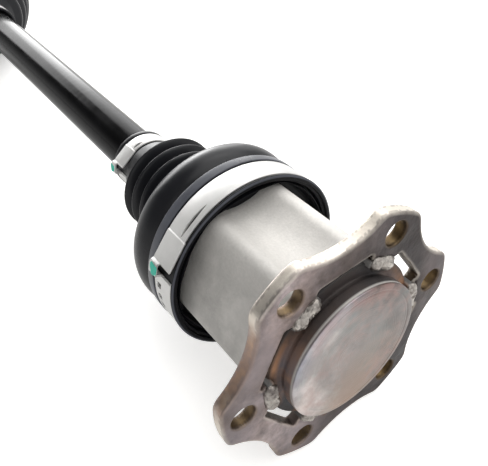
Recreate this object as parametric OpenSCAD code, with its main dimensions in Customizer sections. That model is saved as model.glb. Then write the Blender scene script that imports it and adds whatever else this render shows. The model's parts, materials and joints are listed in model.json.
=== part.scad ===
// Drive axle with a plunging tripod joint at the bolted flange and a ball joint at the splined stub.
// X runs along the axle from the flange to the stub, +Z is up, and the origin is the centre of the
// flange's mounting face. Every part is built in an axle frame whose own z is the axle.

/* [Flange] */
// Diameter of the bolt circle
bolt_circle_d = 94; // [90:0.5:98]
// Diameter of each bolt hole
bolt_hole_d = 10.2; // [8:0.1:11]
// Thickness of the flange plate
plate_t = 5.5; // [5:0.5:8]
// Width of metal outside each bolt hole
ear_margin = 3.7; // [3:0.1:6]
// Depth of the notch between two ears
notch_depth = 8; // [5:0.5:10]
// Half angle of the full-height tip of an ear
ear_half_angle = 11; // [9:0.5:13]
// Corner radius of an ear
ear_corner_r = 6; // [4:0.5:7]

/* [Tulip housing] */
// Distance from the axis to the flat outer face of a lobe
lobe_face = 31.6; // [31.4:0.1:33]
// Distance from the axis to the bottom of a valley
valley_floor = 28.8; // [28:0.1:30]
// Radius of the concave valley between two lobes
valley_r = 23.6; // [22:0.1:26]
// Corner radius of a lobe
lobe_corner_r = 5.5; // [4.5:0.1:6.5]
// Length from the mounting face to the open mouth
tulip_len = 76; // [75:0.5:80]
// Thickness of the wall outside the roller tracks' ends
lobe_wall = 4; // [3:0.1:4.6]
// Radius of the middle clearance bore
middle_bore_r = 24; // [23:0.1:25]
// Depth of the cavity's floor behind the mounting face
cavity_floor = 7; // [6:0.1:7.5]
// Diameter of the round boss on the closed end
boss_d = 60; // [54:0.5:61]
// Height of the boss above the mounting face
boss_h = 5.6; // [3:0.1:8]
// Radius of the web round the boss, inside the plate's windows
web_r = 34.6; // [33:0.1:35.5]
// Depth of that web behind the mounting face
web_x = 2.4; // [0.8:0.1:3]

/* [Stakes] */
// Width of the six tabs that pass through the plate
tab_w = 13.6; // [10:0.1:15]
// Radius of the plate's hole around the tabs
plate_bore_r = 36.5; // [36:0.1:37]
// Distance from the axis to the straight edge of a window
window_edge = 38; // [37:0.1:39]
// Length of that straight edge
window_len = 25; // [20:0.5:26]
// Height of the upset metal over each tab
bead_h = 2.4; // [1.5:0.1:2.8]

/* [Tripod joint] */
// Station of the spider's centre at mid travel
tripod_x = 42; // [41.5:0.1:42.4]
// Distance from the axis to a roller's centre
roller_h = 21; // [20.8:0.1:21.2]
// Outer diameter of a roller
roller_d = 34; // [33.6:0.1:34.4]
// Width of a roller
roller_w = 10; // [9.6:0.1:10.2]
// Wall of a roller outside its needles
roller_wall = 3; // [2.6:0.1:3.4]
// Wall of the ring inside the needles
ring_wall = 2.05; // [1.8:0.05:2.4]
// Diameter of a trunnion's neck
neck_d = 15.2; // [14:0.1:15.6]
// Radius of the spider's hub
hub_r = 14.4; // [14:0.1:14.6]
// Half length of the spider's hub
hub_half = 10; // [9:0.1:10.4]
// Diameter of a needle
needle_d = 1.9; // [1.8:0.05:2]

/* [Shaft] */
// Diameter of the bar between the joints
bar_d = 25.8; // [24:0.1:27]
// Diameter of the slim neck inside the tripod joint
neck_bar_d = 20.6; // [20:0.1:21]
// Station of the ball joint's centre
ball_joint_x = 525; // [480:1:560]
// Diameter of the splined end in the inner race
race_spline_d = 22; // [21:0.1:23]

/* [Ball joint] */
// Diameter of the balls' centre circle
ball_circle_d = 66; // [65:0.1:67]
// Diameter of a ball
ball_d = 19; // [18.6:0.1:19.2]
// Depth of the inner race's round surface inside the balls' circle
race_drop = 4.5; // [4:0.1:5]
// Height of the cage's outside over the balls' circle
cage_rise = 5; // [4.6:0.1:5.2]
// Width of the cage
cage_w = 26; // [25:0.1:27]
// Width of the inner race
race_w = 24; // [23:0.1:25]
// Outer radius of the bell
bell_r = 49; // [48.5:0.1:51]
// Distance from the ball centres to the bell's mouth
bell_mouth = 17; // [16:0.1:18]

/* [Stub] */
// Station of the shoulder that seats on the wheel bearing, from the joint's centre
shoulder_off = 41; // [40:0.5:46]
// Radius of the shoulder
shoulder_r = 24; // [22:0.5:26]
// Length of the plain pilot behind the spline
pilot_len = 8; // [5:0.5:12]
// Diameter of the pilot
stub_d = 29; // [27:0.1:31]
// Length of the spline
spline_len = 38; // [30:0.5:45]
// Teeth on the spline
spline_teeth = 36; // [30:1:40]
// Diameter of the threaded hole for the axle bolt
axle_bolt_d = 14; // [12:0.1:16]
// Depth of that hole
axle_bolt_depth = 45; // [35:0.5:48]

/* [Boots] */
// Wall of both boots
boot_wall = 2.2; // [1.8:0.1:2.6]
// Station of the inner boot's front lip
lip_x = 55; // [54:0.1:57]
// Radius of the sleeve under the large clamp
sleeve_r = 41.2; // [40.6:0.1:41.8]
// Radius of the lip and of the land beside the clamp
land_r = 42.4; // [42:0.1:43]
// Largest radius of the big convolution
donut_r = 42.4; // [41.5:0.1:45]
// Radius of its rounded outside
donut_tube = 10; // [9:0.1:10.5]
// Station of the inner boot's first small crest from the shaft's side
crest_x = 130.5; // [126:0.5:134]
// Radius of the small crests
crest_r = 25.8; // [24:0.1:27]
// Radius of the valleys between the small crests
root_r = 19.6; // [18.5:0.1:21]
// Spacing of the small crests
crest_pitch = 8; // [7.5:0.1:8.4]
// Station of the outer boot's collar
outer_collar_x = 418; // [400:1:425]

/* [Clamps] */
// Width of the large clamp's band
big_band_w = 12.4; // [9:0.1:13]
// Width of the small clamps' bands
small_band_w = 9.5; // [7:0.1:10]
// Thickness of the clamps' steel
band_t = 0.9; // [0.6:0.05:1.2]
// Height of the large clamp's ear above its band
ear_h = 3.2; // [2.6:0.1:5]
// Height of the small clamps' ears
small_ear_h = 3.2; // [2:0.1:4]

/* [Hidden] */
$fn = 96;

// Clearances
fit_gap = 0.05;      // pieces pressed or clamped together
track_gap = 0.1;     // roller to track, and cage to races
head_gap = 0.45;     // trunnion head in its ring, for the tilt
groove_gap = 0.5;    // ball in its groove, for the sideways creep of a ball as the joint bends
seat_gap = 0.1;      // clip to the face it holds

// Flange
ears = 6;
bolt_circle_r = bolt_circle_d / 2;
flange_r = bolt_circle_r + bolt_hole_d / 2 + ear_margin;
notch_bottom = flange_r - notch_depth;
notch_half = 180 / ears - ear_half_angle;
// The notch arc passes through its bottom and both ear tips.
notch_r = (pow(flange_r, 2) + pow(notch_bottom, 2) - 2 * flange_r * notch_bottom * cos(notch_half))
          / (2 * (flange_r * cos(notch_half) - notch_bottom));
notch_centre = notch_bottom + notch_r;
corner_angles = [for (k = [0:ears - 1]) k * 360 / ears];
window_angles = [for (a = corner_angles) a + 180 / ears];
// A fillet of ear_corner_r lies inside the flange's circle and outside the notch's.
reach_ear = flange_r - ear_corner_r;
reach_notch = notch_r + ear_corner_r;
corner_turn = acos((pow(reach_ear, 2) + pow(notch_centre, 2) - pow(reach_notch, 2))
                   / (2 * reach_ear * notch_centre));
fillet_x = reach_ear * cos(corner_turn);
fillet_y = reach_ear * sin(corner_turn);
notch_turn = asin(fillet_y / reach_notch);

// Stakes
bead_round = 3.1;    // roundness of the upset metal across a tab
bead_inset = 1.4;    // its middle inside the plate's bore
bead_half_angle = 10;
seat_t = 0.4;        // depth of the step in the plate's face that the upset metal fills
seat_r = plate_bore_r + 2;
boss_relief = 1;     // step from the pilot boss down to its foot on the web

// Tulip
lobe_angles = [30, 150, 270];
boss_edge = 0.8;
mouth_edge = 2;
valley_centre = valley_floor + valley_r;
track_half = roller_d / 2 + track_gap;
boss_r = boss_d / 2;

// Trunnion stack, from the roller inwards to the trunnion's head
roller_bore_r = roller_d / 2 - roller_wall;
needle_pitch_r = roller_bore_r - fit_gap - needle_d / 2;
ring_r = needle_pitch_r - needle_d / 2 - fit_gap;
ring_bore_r = ring_r - ring_wall;
head_r = ring_bore_r - head_gap;
needle_gap = 0.05;
needle_count = floor(360 / (2 * asin((needle_d + needle_gap) / 2 / needle_pitch_r)));
ring_w = roller_w - 0.4;
washer_t = 0.9;
needle_len = ring_w - 2 * washer_t - 0.2;
spider_spline_r = 10.4;
clip_t = 1.5;

// Shaft
bar_r = bar_d / 2;
neck_bar_r = neck_bar_d / 2;
race_spline_r = race_spline_d / 2;
spider_clip_x = tripod_x - hub_half - seat_gap - clip_t;
race_clip_x = ball_joint_x + race_w / 2 + seat_gap;

// Ball joint
ball_r = ball_d / 2;
ball_circle_r = ball_circle_d / 2;
race_r = ball_circle_r - race_drop;
cage_r = ball_circle_r + cage_rise;
cage_bore_r = race_r + track_gap;
bell_bore_r = cage_r + track_gap;
// Balls stand a little nearer the bending plane than their grooves: the mean of their creep.
ball_creep = 0.8;
ball_angles = [0, 60 - ball_creep, 120 + ball_creep, 180, 240 - ball_creep, 300 + ball_creep];
cage_window = ball_d + 3.4;
bell_depth = 25.5;
stub_r = stub_d / 2;
stub_len = pilot_len + spline_len;
spline_tip_r = stub_r - 0.3;
spline_depth = 1;

// Boots
big_clamp_x = lip_x + 8;
small_clamp_x = crest_x + 23.5;
outer_small_clamp_x = outer_collar_x + 8;
outer_big_clamp_x = ball_joint_x - bell_mouth + 10;
outer_sleeve_r = bell_r + fit_gap + boot_wall;
collar_r = bar_r + fit_gap + boot_wall;
ridge_h = 1;         // height of the ridges that keep a clamp in place

// Clamps: the ears' angles, then the slot and the locking windows by distances round the strap
big_ear_angle = 26;
small_ear_angle = 15;
outer_big_ear_angle = 30;
outer_small_ear_angle = 60;
slot_from = 15;
slot_len = 13;
slot_w = 1.5;
window_from = 12.5;
window_step = 6.2;
window_l = 2;
window_w = 2.5;

module axle_frame() { rotate([90, 0, 90]) children(); }
module at(x) { translate([0, 0, x]) children(); }
module ring(r_out, r_in, h) {
    difference() {
        cylinder(r = r_out, h = h);
        at(-1) cylinder(r = r_in, h = h + 2);
    }
}
// The frame of the trunnion at the angle a: its own z points outwards from the axle.
module on_trunnion(a) { at(tripod_x) rotate([0, 0, a]) rotate([0, 90, 0]) children(); }

function turned(p, a) = [p[0] * cos(a) - p[1] * sin(a), p[0] * sin(a) + p[1] * cos(a)];
// An arc of n steps about the centre c that leaves out its last point.
function arc_open(c, r, a0, a1, n) =
    [for (i = [0:n - 1]) c + r * [cos(a0 + (a1 - a0) * i / n), sin(a0 + (a1 - a0) * i / n)]];
// The same with both its ends.
function arc(c, r, a0, a1, n) = concat(arc_open(c, r, a0, a1, n), [c + r * [cos(a1), sin(a1)]]);

// ---------------------------------------------------------------- flange
// One sixth of the outline, from the end of one ear through a notch and round the next ear.
function flange_sixth(a) = concat(
    arc_open(turned([fillet_x, -fillet_y], a), ear_corner_r, a - corner_turn, a + notch_turn, 6),
    arc_open(turned([notch_centre, 0], a), notch_r, a + 180 + notch_turn, a + 180 - notch_turn, 12),
    arc_open(turned([fillet_x, fillet_y], a), ear_corner_r, a - notch_turn, a + corner_turn, 6),
    arc_open([0, 0], flange_r, a + corner_turn, a + 360 / ears - corner_turn, 10));

module flange_outline() { polygon([for (a = window_angles) each flange_sixth(a)]); }

module plate_windows() {
    circle(r = plate_bore_r);
    for (a = window_angles) rotate(a) translate([0, -window_len / 2]) square([window_edge, window_len]);
}

module flange_plate() {
    color([0.36, 0.33, 0.32])
    difference() {
        linear_extrude(plate_t) difference() {
            flange_outline();
            plate_windows();
            for (a = corner_angles) rotate(a) translate([bolt_circle_r, 0]) circle(d = bolt_hole_d);
        }
        at(-1) cylinder(r = seat_r, h = 1 + seat_t);
    }
}

// A crescent of metal upset over one tab, filling the step in the plate's face.
module bead() {
    edge = acos((bead_round - bead_h - seat_t) / bead_round);
    rotate([0, 0, -bead_half_angle]) rotate_extrude(angle = 2 * bead_half_angle)
        translate([plate_bore_r - bead_inset, bead_round - bead_h])
            polygon(arc([0, 0], bead_round, 270 - edge, 270 + edge, 8));
}

module stake_beads() {
    color([0.62, 0.59, 0.55])
    for (a = corner_angles) rotate(a) bead();
}

// ---------------------------------------------------------------- tulip
// The lobed outline, grown by g: three flats, three valleys and six rounded corners.
module lobed_outline(g = 0) {
    corner = lobe_corner_r + g;
    hollow = valley_r - g;
    // Places in a lobe's own frame, with its flat across +x and the next valley at 60 degrees.
    valley = valley_centre * [cos(60), sin(60)];
    cx = lobe_face + g - corner;
    cy = valley[1] - sqrt(pow(hollow + corner, 2) - pow(cx - valley[0], 2));
    turn = atan2(valley[1] - cy, valley[0] - cx);
    polygon([for (a = lobe_angles) each concat(
        arc(turned([cx, -cy], a), corner, a - turn, a, 8),
        arc_open(turned([cx, cy], a), corner, a, a + turn, 8),
        arc_open(turned(valley, a), hollow, a + 180 + turn, a + 300 - turn, 16))]);
}

module cavity_outline() {
    circle(r = middle_bore_r);
    for (a = lobe_angles) rotate(a) translate([0, -track_half])
        square([lobe_face - lobe_wall, 2 * track_half]);
}

module tulip_housing() {
    color([0.72, 0.70, 0.67]) {
        difference() {
            union() {
                at(plate_t) linear_extrude(tulip_len - plate_t) lobed_outline();
                rotate_extrude() polygon([[0, -boss_h], [boss_r - boss_edge, -boss_h],
                    [boss_r, -boss_h + boss_edge], [boss_r, 0], [boss_r - boss_relief, 0],
                    [boss_r - boss_relief, web_x], [web_r - 0.5, web_x],
                    [web_r, web_x + 0.5], [web_r, plate_t], [0, plate_t]]);
                at(seat_t) linear_extrude(plate_t - seat_t) intersection() {
                    circle(r = plate_bore_r - fit_gap);
                    for (a = corner_angles) rotate(a) translate([0, -tab_w / 2])
                        square([plate_bore_r, tab_w]);
                }
            }
            at(cavity_floor) linear_extrude(tulip_len) cavity_outline();
            at(tulip_len - mouth_edge)
                cylinder(r1 = middle_bore_r, r2 = middle_bore_r + mouth_edge, h = mouth_edge);
        }
    }
}

// The rubber filler that makes the lobed mouth round for the boot.
module boot_adapter() {
    front = lip_x + 1.4;
    outside = sleeve_r - boot_wall - fit_gap;
    color([0.07, 0.07, 0.075])
    difference() {
        at(front) cylinder(r = outside, h = tulip_len - 1.2 - front);
        at(front - 1) linear_extrude(tulip_len) lobed_outline(fit_gap);
    }
}

// ---------------------------------------------------------------- tripod joint
module tripod_spider() {
    color([0.55, 0.55, 0.56])
    difference() {
        union() {
            at(tripod_x - hub_half) rotate_extrude() polygon([[0, 0], [hub_r - 2.2, 0], [hub_r, hub_half / 2],
                [hub_r, 1.5 * hub_half], [hub_r - 2.2, 2 * hub_half], [0, 2 * hub_half]]);
            for (a = lobe_angles) on_trunnion(a) {
                cylinder(d = neck_d, h = roller_h);
                intersection() {
                    at(roller_h) sphere(r = head_r);
                    cylinder(r = head_r + 1, h = roller_h + ring_w / 2 - 0.2);
                }
            }
        }
        at(tripod_x - 2 * hub_half) cylinder(r = spider_spline_r + fit_gap, h = 4 * hub_half);
    }
}

module snap_ring(x, r_groove) {
    color([0.30, 0.30, 0.32])
    at(x) rotate(20) rotate_extrude(angle = 320)
        translate([r_groove + fit_gap, 0]) square([2.2, clip_t]);
}

module spider_circlip() { snap_ring(spider_clip_x, spider_spline_r - 1); }

module roller(a) {
    edge = 0.8;
    color([0.66, 0.67, 0.69])
    on_trunnion(a) at(roller_h - roller_w / 2) rotate_extrude()
        polygon([[roller_bore_r, 0], [roller_d / 2 - edge, 0], [roller_d / 2, edge],
            [roller_d / 2, roller_w - edge], [roller_d / 2 - edge, roller_w], [roller_bore_r, roller_w]]);
}

module inner_ring(a) {
    color([0.60, 0.61, 0.63])
    on_trunnion(a) at(roller_h - ring_w / 2) ring(ring_r, ring_bore_r, ring_w);
}

module needles(a) {
    color([0.75, 0.75, 0.77])
    on_trunnion(a) at(roller_h - needle_len / 2)
        for (k = [0:needle_count - 1]) rotate(k * 360 / needle_count)
            translate([needle_pitch_r, 0, 0]) cylinder(d = needle_d, h = needle_len, $fn = 24);
}

module washers(a) {
    color([0.45, 0.45, 0.47])
    on_trunnion(a) for (s = [-1, 1]) at(roller_h + s * (ring_w / 2 - washer_t / 2) - washer_t / 2)
        ring(roller_bore_r - fit_gap, ring_r + fit_gap, washer_t);
}

// ---------------------------------------------------------------- shaft
// One groove for a clip, as points of the turned outline.
function clip_groove(x, r) = [[r, x], [r - 1, x], [r - 1, x + clip_t], [r, x + clip_t]];

module axle_shaft() {
    inner_end = tripod_x - hub_half - 4;
    outer_end = ball_joint_x + race_w / 2 + 4;
    stop_in = tripod_x + hub_half + seat_gap;
    stop_out = ball_joint_x - race_w / 2 - seat_gap;
    slim_to = tulip_len + 18;
    bar_from = slim_to + 10;
    bar_to = outer_collar_x + 24;
    step = 1.5;
    color([0.05, 0.05, 0.055])
    rotate_extrude() polygon(concat(
        [[0, inner_end], [spider_spline_r - 1, inner_end], [spider_spline_r, inner_end + 1]],
        clip_groove(spider_clip_x, spider_spline_r),
        [[spider_spline_r, stop_in], [neck_bar_r + 0.9, stop_in], [neck_bar_r + 0.9, stop_in + 2.5],
         [neck_bar_r, stop_in + 4], [neck_bar_r, slim_to], [bar_r, bar_from], [bar_r, bar_to],
         [bar_r - step, bar_to + 8], [bar_r - step, stop_out - 5], [bar_r - 0.4, stop_out - 4],
         [bar_r - 0.4, stop_out], [race_spline_r, stop_out]],
        clip_groove(race_clip_x, race_spline_r),
        [[race_spline_r, outer_end - 1], [race_spline_r - 1, outer_end], [0, outer_end]]));
}

// ---------------------------------------------------------------- ball joint
// A groove that runs round a meridian at the angle a, clear of the ball.
module groove(a) {
    rotate(a) rotate([90, 0, 0]) rotate_extrude()
        translate([ball_circle_r, 0]) circle(r = ball_r + groove_gap);
}

module inner_race() {
    color([0.58, 0.58, 0.60])
    at(ball_joint_x) difference() {
        intersection() {
            sphere(r = race_r, $fn = 128);
            at(-race_w / 2) cylinder(r = race_r + 1, h = race_w);
        }
        for (a = [0:60:120]) groove(a);
        at(-race_w) cylinder(r = race_spline_r + fit_gap, h = 2 * race_w);
    }
}

module race_circlip() { snap_ring(race_clip_x, race_spline_r - 1); }

module ball_cage() {
    color([0.50, 0.49, 0.47])
    at(ball_joint_x) difference() {
        intersection() {
            sphere(r = cage_r, $fn = 128);
            at(-cage_w / 2) cylinder(r = cage_r + 1, h = cage_w);
        }
        sphere(r = cage_bore_r, $fn = 128);
        for (a = ball_angles) rotate(a)
            translate([ball_circle_r / 2, -cage_window / 2, -ball_r - track_gap])
                cube([ball_circle_r, cage_window, ball_d + 2 * track_gap]);
    }
}

module balls() {
    color([0.80, 0.81, 0.83])
    at(ball_joint_x) for (a = ball_angles) rotate(a) translate([ball_circle_r, 0, 0]) sphere(r = ball_r);
}

module spline_grooves(r, depth, len, n) {
    half = 120 / n;
    for (k = [0:n - 1]) rotate(k * 360 / n) linear_extrude(len)
        polygon([[r - depth, 0], [(r + 1) * cos(half), (r + 1) * sin(half)],
            [(r + 1) * cos(half), -(r + 1) * sin(half)]]);
}

module outer_race() {
    dome_x = 12;
    dome_r = 22;
    shoulder_t = 5;
    tip = shoulder_off + stub_len;
    edge = 1.5;
    color([0.42, 0.42, 0.43])
    at(ball_joint_x) difference() {
        rotate_extrude() polygon(concat(
            [[0, -bell_mouth], [bell_r - 1, -bell_mouth], [bell_r, -bell_mouth + 1], [bell_r, dome_x]],
            arc([bell_r - dome_r, dome_x], dome_r, 12, 84, 9),
            [[shoulder_r, shoulder_off - shoulder_t], [shoulder_r, shoulder_off], [stub_r, shoulder_off],
             [stub_r, shoulder_off + pilot_len], [spline_tip_r, shoulder_off + pilot_len],
             [spline_tip_r, tip - edge], [spline_tip_r - edge, tip], [0, tip]]));
        intersection() {
            sphere(r = bell_bore_r, $fn = 128);
            at(-bell_mouth - 1) cylinder(r = bell_r, h = bell_mouth + bell_depth + 1);
        }
        intersection() {
            for (a = [0:60:120]) groove(a);
            at(-bell_mouth - 1) cylinder(r = bell_r, h = bell_mouth + bell_depth);
        }
        at(-bell_mouth) cylinder(r1 = bell_bore_r - 0.5, r2 = bell_bore_r - 3, h = 4);
        at(shoulder_off + pilot_len)
            spline_grooves(spline_tip_r, spline_depth, spline_len + 1, spline_teeth);
        at(tip - axle_bolt_depth) cylinder(d = axle_bolt_d, h = axle_bolt_depth + 1);
    }
}

// ---------------------------------------------------------------- boots
// A run of n small convolutions that starts in a root at x0.
function ripples(x0, n, pitch, r_crest, r_root, steps) =
    [for (i = [0:n * steps]) let (t = i / steps)
        [(r_crest + r_root) / 2 - (r_crest - r_root) / 2 * cos(360 * t), x0 + pitch * t]];

// A turned skin of even wall inside the outline, whose points are [radius, station].
module boot_skin(outside) {
    inside = [for (i = [len(outside) - 1:-1:0]) outside[i] - [boot_wall, 0]];
    rotate_extrude() polygon(concat(outside, inside));
}

module inner_boot() {
    clamp_end = big_clamp_x + big_band_w / 2 + 1;
    land_end = max(clamp_end + 5, tulip_len - 0.6);
    donut_x = land_end + 9.5;
    first_root = crest_x - 3.5 * crest_pitch;
    collar_start = small_clamp_x - small_band_w / 2 - 1.2;
    collar_end = small_clamp_x + small_band_w / 2 + 1.2;
    color([0.09, 0.09, 0.10])
    boot_skin(concat(
        [[land_r, lip_x], [land_r, lip_x + 1.4], [sleeve_r, lip_x + 1.4], [sleeve_r, clamp_end],
         [land_r, clamp_end], [land_r, land_end]],
        arc([donut_r - donut_tube, donut_x], donut_tube, -50, 62, 10),
        [[root_r + 5, first_root - 1.6]],
        ripples(first_root, 3.5, crest_pitch, crest_r, root_r, 6),
        [[collar_r + ridge_h, crest_x + crest_pitch], [collar_r + ridge_h, collar_start],
         [collar_r, collar_start], [collar_r, collar_end],
         [collar_r + ridge_h, collar_end], [collar_r + ridge_h, collar_end + 2.4]]));
}

// Radius in the outer boot at a share of the way from its collar to its sleeve.
function fold_r(share) = collar_r + share * (outer_sleeve_r - collar_r);
// Crests of the outer boot as [share of the way out, station past the collar, tube radius].
outer_crests = [[0.4, 27.5, 3.5], [0.605, 41, 4.5], [0.8, 57, 5], [0.985, 74.5, 5.2]];
// Valleys between them as [share of the way out, station past the collar].
outer_roots = [[0.19, 24], [0.22, 33], [0.385, 48.5], [0.55, 65.5]];
mouth_fold = 0.8;

module outer_boot() {
    mouth = ball_joint_x - bell_mouth;
    x0 = outer_collar_x;
    collar_start = outer_small_clamp_x - small_band_w / 2 - 1.2;
    collar_end = outer_small_clamp_x + small_band_w / 2 + 1.2;
    clamp_end = outer_big_clamp_x + big_band_w / 2 + 1;
    color([0.09, 0.09, 0.10])
    boot_skin(concat(
        [[collar_r + ridge_h, x0], [collar_r + ridge_h, collar_start], [collar_r, collar_start],
         [collar_r, collar_end], [collar_r + ridge_h, collar_end], [collar_r + ridge_h, collar_end + 5]],
        [for (i = [0:3]) let (tube = outer_crests[i][2])
            each concat([[fold_r(outer_roots[i][0]), x0 + outer_roots[i][1]]],
                arc([fold_r(outer_crests[i][0]) - tube, x0 + outer_crests[i][1]], tube, -75, 70, 6))],
        [[fold_r(mouth_fold), mouth - 8], [outer_sleeve_r, mouth - 1], [outer_sleeve_r, clamp_end],
         [outer_sleeve_r + ridge_h, clamp_end], [outer_sleeve_r + ridge_h, clamp_end + 2]]));
}

// ---------------------------------------------------------------- clamps
// Degrees that a length takes up along a circle.
function along(length, r) = length * 180 / (PI * r);

// The strap's outline round its ear: a foot that flares into the ring, a waist and a flat top.
function ear_line(r, h) =
    let (foot = r + band_t, half = 1.35 * h, waist = foot + 0.35 * h, top = foot + h, round = 0.3 * h)
    [[r, -half - 2 * band_t], [waist, -half], [top - round / 3, -half + round / 3], [top, -half + round],
     [top, half - round], [top - round / 3, half - round / 3], [waist, half], [r, half + 2 * band_t]];
// The hollow under that ear, a strap's thickness inside it.
function ear_hollow(r, h) =
    let (foot = r + band_t, half = 1.35 * h, waist = foot + 0.35 * h, top = foot + h - band_t)
    [[r - band_t, -half + band_t / 4], [waist, -half + band_t], [top, -half + 2 * band_t],
     [top, half - 2 * band_t], [waist, half - band_t], [r - band_t, half - band_t / 4]];

// A strap of steel bent into a ring with a raised, crimped ear at the angle a.
module ear_clamp(x, r, w, a, h) {
    cut = 3 * band_t;
    color([0.78, 0.78, 0.77])
    at(x - w / 2) difference() {
        linear_extrude(w) difference() {
            union() {
                circle(r = r + band_t);
                rotate(a) polygon(ear_line(r, h));
            }
            circle(r = r);
            rotate(a) polygon(ear_hollow(r, h));
        }
        // The strap's slot on one side of the ear and its three locking windows on the other.
        rotate(a + along(slot_from, r)) rotate_extrude(angle = along(slot_len, r))
            translate([r - band_t, (w - slot_w) / 2]) square([cut, slot_w]);
        for (k = [0:2]) rotate(a - along(window_from + window_step * k, r))
            translate([r - band_t, -window_l / 2, (w - window_w) / 2]) cube([cut, window_l, window_w]);
    }
}

module large_clamp(x, r, a) { ear_clamp(x, r + fit_gap, big_band_w, a, ear_h); }
module small_clamp(x, a) { ear_clamp(x, collar_r + fit_gap, small_band_w, a, small_ear_h); }
module inner_large_clamp() { large_clamp(big_clamp_x, sleeve_r, big_ear_angle); }
module inner_small_clamp() { small_clamp(small_clamp_x, small_ear_angle); }
module outer_large_clamp() { large_clamp(outer_big_clamp_x, outer_sleeve_r, outer_big_ear_angle); }
module outer_small_clamp() { small_clamp(outer_small_clamp_x, outer_small_ear_angle); }

axle_frame() tulip_housing();
axle_frame() flange_plate();
axle_frame() stake_beads();
axle_frame() boot_adapter();
axle_frame() inner_boot();
axle_frame() inner_large_clamp();
axle_frame() inner_small_clamp();
axle_frame() tripod_spider();
axle_frame() spider_circlip();
axle_frame() roller(lobe_angles[2]);  // roller_1
axle_frame() roller(lobe_angles[0]);  // roller_2
axle_frame() roller(lobe_angles[1]);  // roller_3
axle_frame() inner_ring(lobe_angles[2]);  // inner_ring_1
axle_frame() inner_ring(lobe_angles[0]);  // inner_ring_2
axle_frame() inner_ring(lobe_angles[1]);  // inner_ring_3
axle_frame() needles(lobe_angles[2]);  // needles_1
axle_frame() needles(lobe_angles[0]);  // needles_2
axle_frame() needles(lobe_angles[1]);  // needles_3
axle_frame() washers(lobe_angles[2]);  // washers_1
axle_frame() washers(lobe_angles[0]);  // washers_2
axle_frame() washers(lobe_angles[1]);  // washers_3
axle_frame() axle_shaft();
axle_frame() inner_race();
axle_frame() race_circlip();
axle_frame() ball_cage();
axle_frame() balls();
axle_frame() outer_race();
axle_frame() outer_boot();
axle_frame() outer_large_clamp();
axle_frame() outer_small_clamp();
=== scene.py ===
"""Looks of a drive axle with a lobed joint housing, two boots and a black bar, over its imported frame.

Everything is in metres in the frame's own axes: x runs along the axle from the plate's mounting face, and z is up.
A station is a place along x."""

import json
import math

import bmesh
import bpy
import numpy as np
from bpy.props import FloatProperty, FloatVectorProperty, IntProperty, PointerProperty
from mathutils import Matrix, Vector
from mathutils.bvhtree import BVHTree

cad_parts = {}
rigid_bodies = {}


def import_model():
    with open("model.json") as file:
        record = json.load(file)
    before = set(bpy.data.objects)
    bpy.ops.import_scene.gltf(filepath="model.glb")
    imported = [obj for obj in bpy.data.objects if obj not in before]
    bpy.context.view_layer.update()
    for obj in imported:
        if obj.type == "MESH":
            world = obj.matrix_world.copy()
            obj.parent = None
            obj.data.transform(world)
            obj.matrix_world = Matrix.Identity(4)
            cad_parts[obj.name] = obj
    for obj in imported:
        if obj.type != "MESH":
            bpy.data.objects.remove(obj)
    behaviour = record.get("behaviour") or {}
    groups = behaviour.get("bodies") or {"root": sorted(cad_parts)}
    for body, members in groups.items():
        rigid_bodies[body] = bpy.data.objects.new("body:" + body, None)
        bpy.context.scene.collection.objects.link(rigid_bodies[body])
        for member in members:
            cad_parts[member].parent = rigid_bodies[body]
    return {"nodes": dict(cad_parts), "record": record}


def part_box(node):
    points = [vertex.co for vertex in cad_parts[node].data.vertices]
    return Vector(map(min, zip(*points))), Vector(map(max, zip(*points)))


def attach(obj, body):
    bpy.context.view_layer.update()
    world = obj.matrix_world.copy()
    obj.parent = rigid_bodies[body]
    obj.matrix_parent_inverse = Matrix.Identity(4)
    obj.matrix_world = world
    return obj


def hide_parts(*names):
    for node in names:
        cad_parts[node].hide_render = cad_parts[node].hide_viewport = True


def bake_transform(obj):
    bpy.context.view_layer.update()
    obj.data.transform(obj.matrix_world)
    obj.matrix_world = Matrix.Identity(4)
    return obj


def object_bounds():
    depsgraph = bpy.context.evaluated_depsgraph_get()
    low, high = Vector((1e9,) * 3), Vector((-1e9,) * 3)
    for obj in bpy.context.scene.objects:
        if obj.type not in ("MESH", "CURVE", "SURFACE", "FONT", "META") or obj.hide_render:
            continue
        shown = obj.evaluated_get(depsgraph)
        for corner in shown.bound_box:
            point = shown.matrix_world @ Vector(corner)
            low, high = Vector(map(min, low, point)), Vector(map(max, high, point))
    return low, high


bl_info = {
    "name": "Drive axle looks",
    "version": (1, 0, 0),
    "blender": (4, 5, 0),
    "location": "View3D > Sidebar > Axle",
    "description": "Dresses a packed drive axle in forged steel, rubber, strap clamps and black paint",
    "category": "Object",
}

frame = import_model()
cad_low, cad_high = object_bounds()
mounts = {m["name"]: m for m in frame["record"]["mounts"]}

MM = 0.001
IMAGE_W = 488
IMAGE_H = 466
LONG_SIDE = max(IMAGE_W, IMAGE_H)

# Places read off the photograph, in its own pixels.
POINTS = {
    "flange_right_edge": (444.0, None),
    "flange_bottom_edge": (None, 458.0),
    "bolt_hole_bottom": (246.5, 418.0),
    "bolt_hole_left": (292.0, 304.0),
    "bolt_hole_top": (397.0, 231.5),
    "bolt_hole_right": (430.5, 277.5),
    "boot_lip_right": (328.0, 217.0),
    "big_fold_left": (133.0, 249.0),
    "small_fold_left": (123.5, 195.0),
    "big_clamp_paint": (153.0, 269.0),
    "small_clamp_paint": (112.6, 167.4),
}

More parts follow.
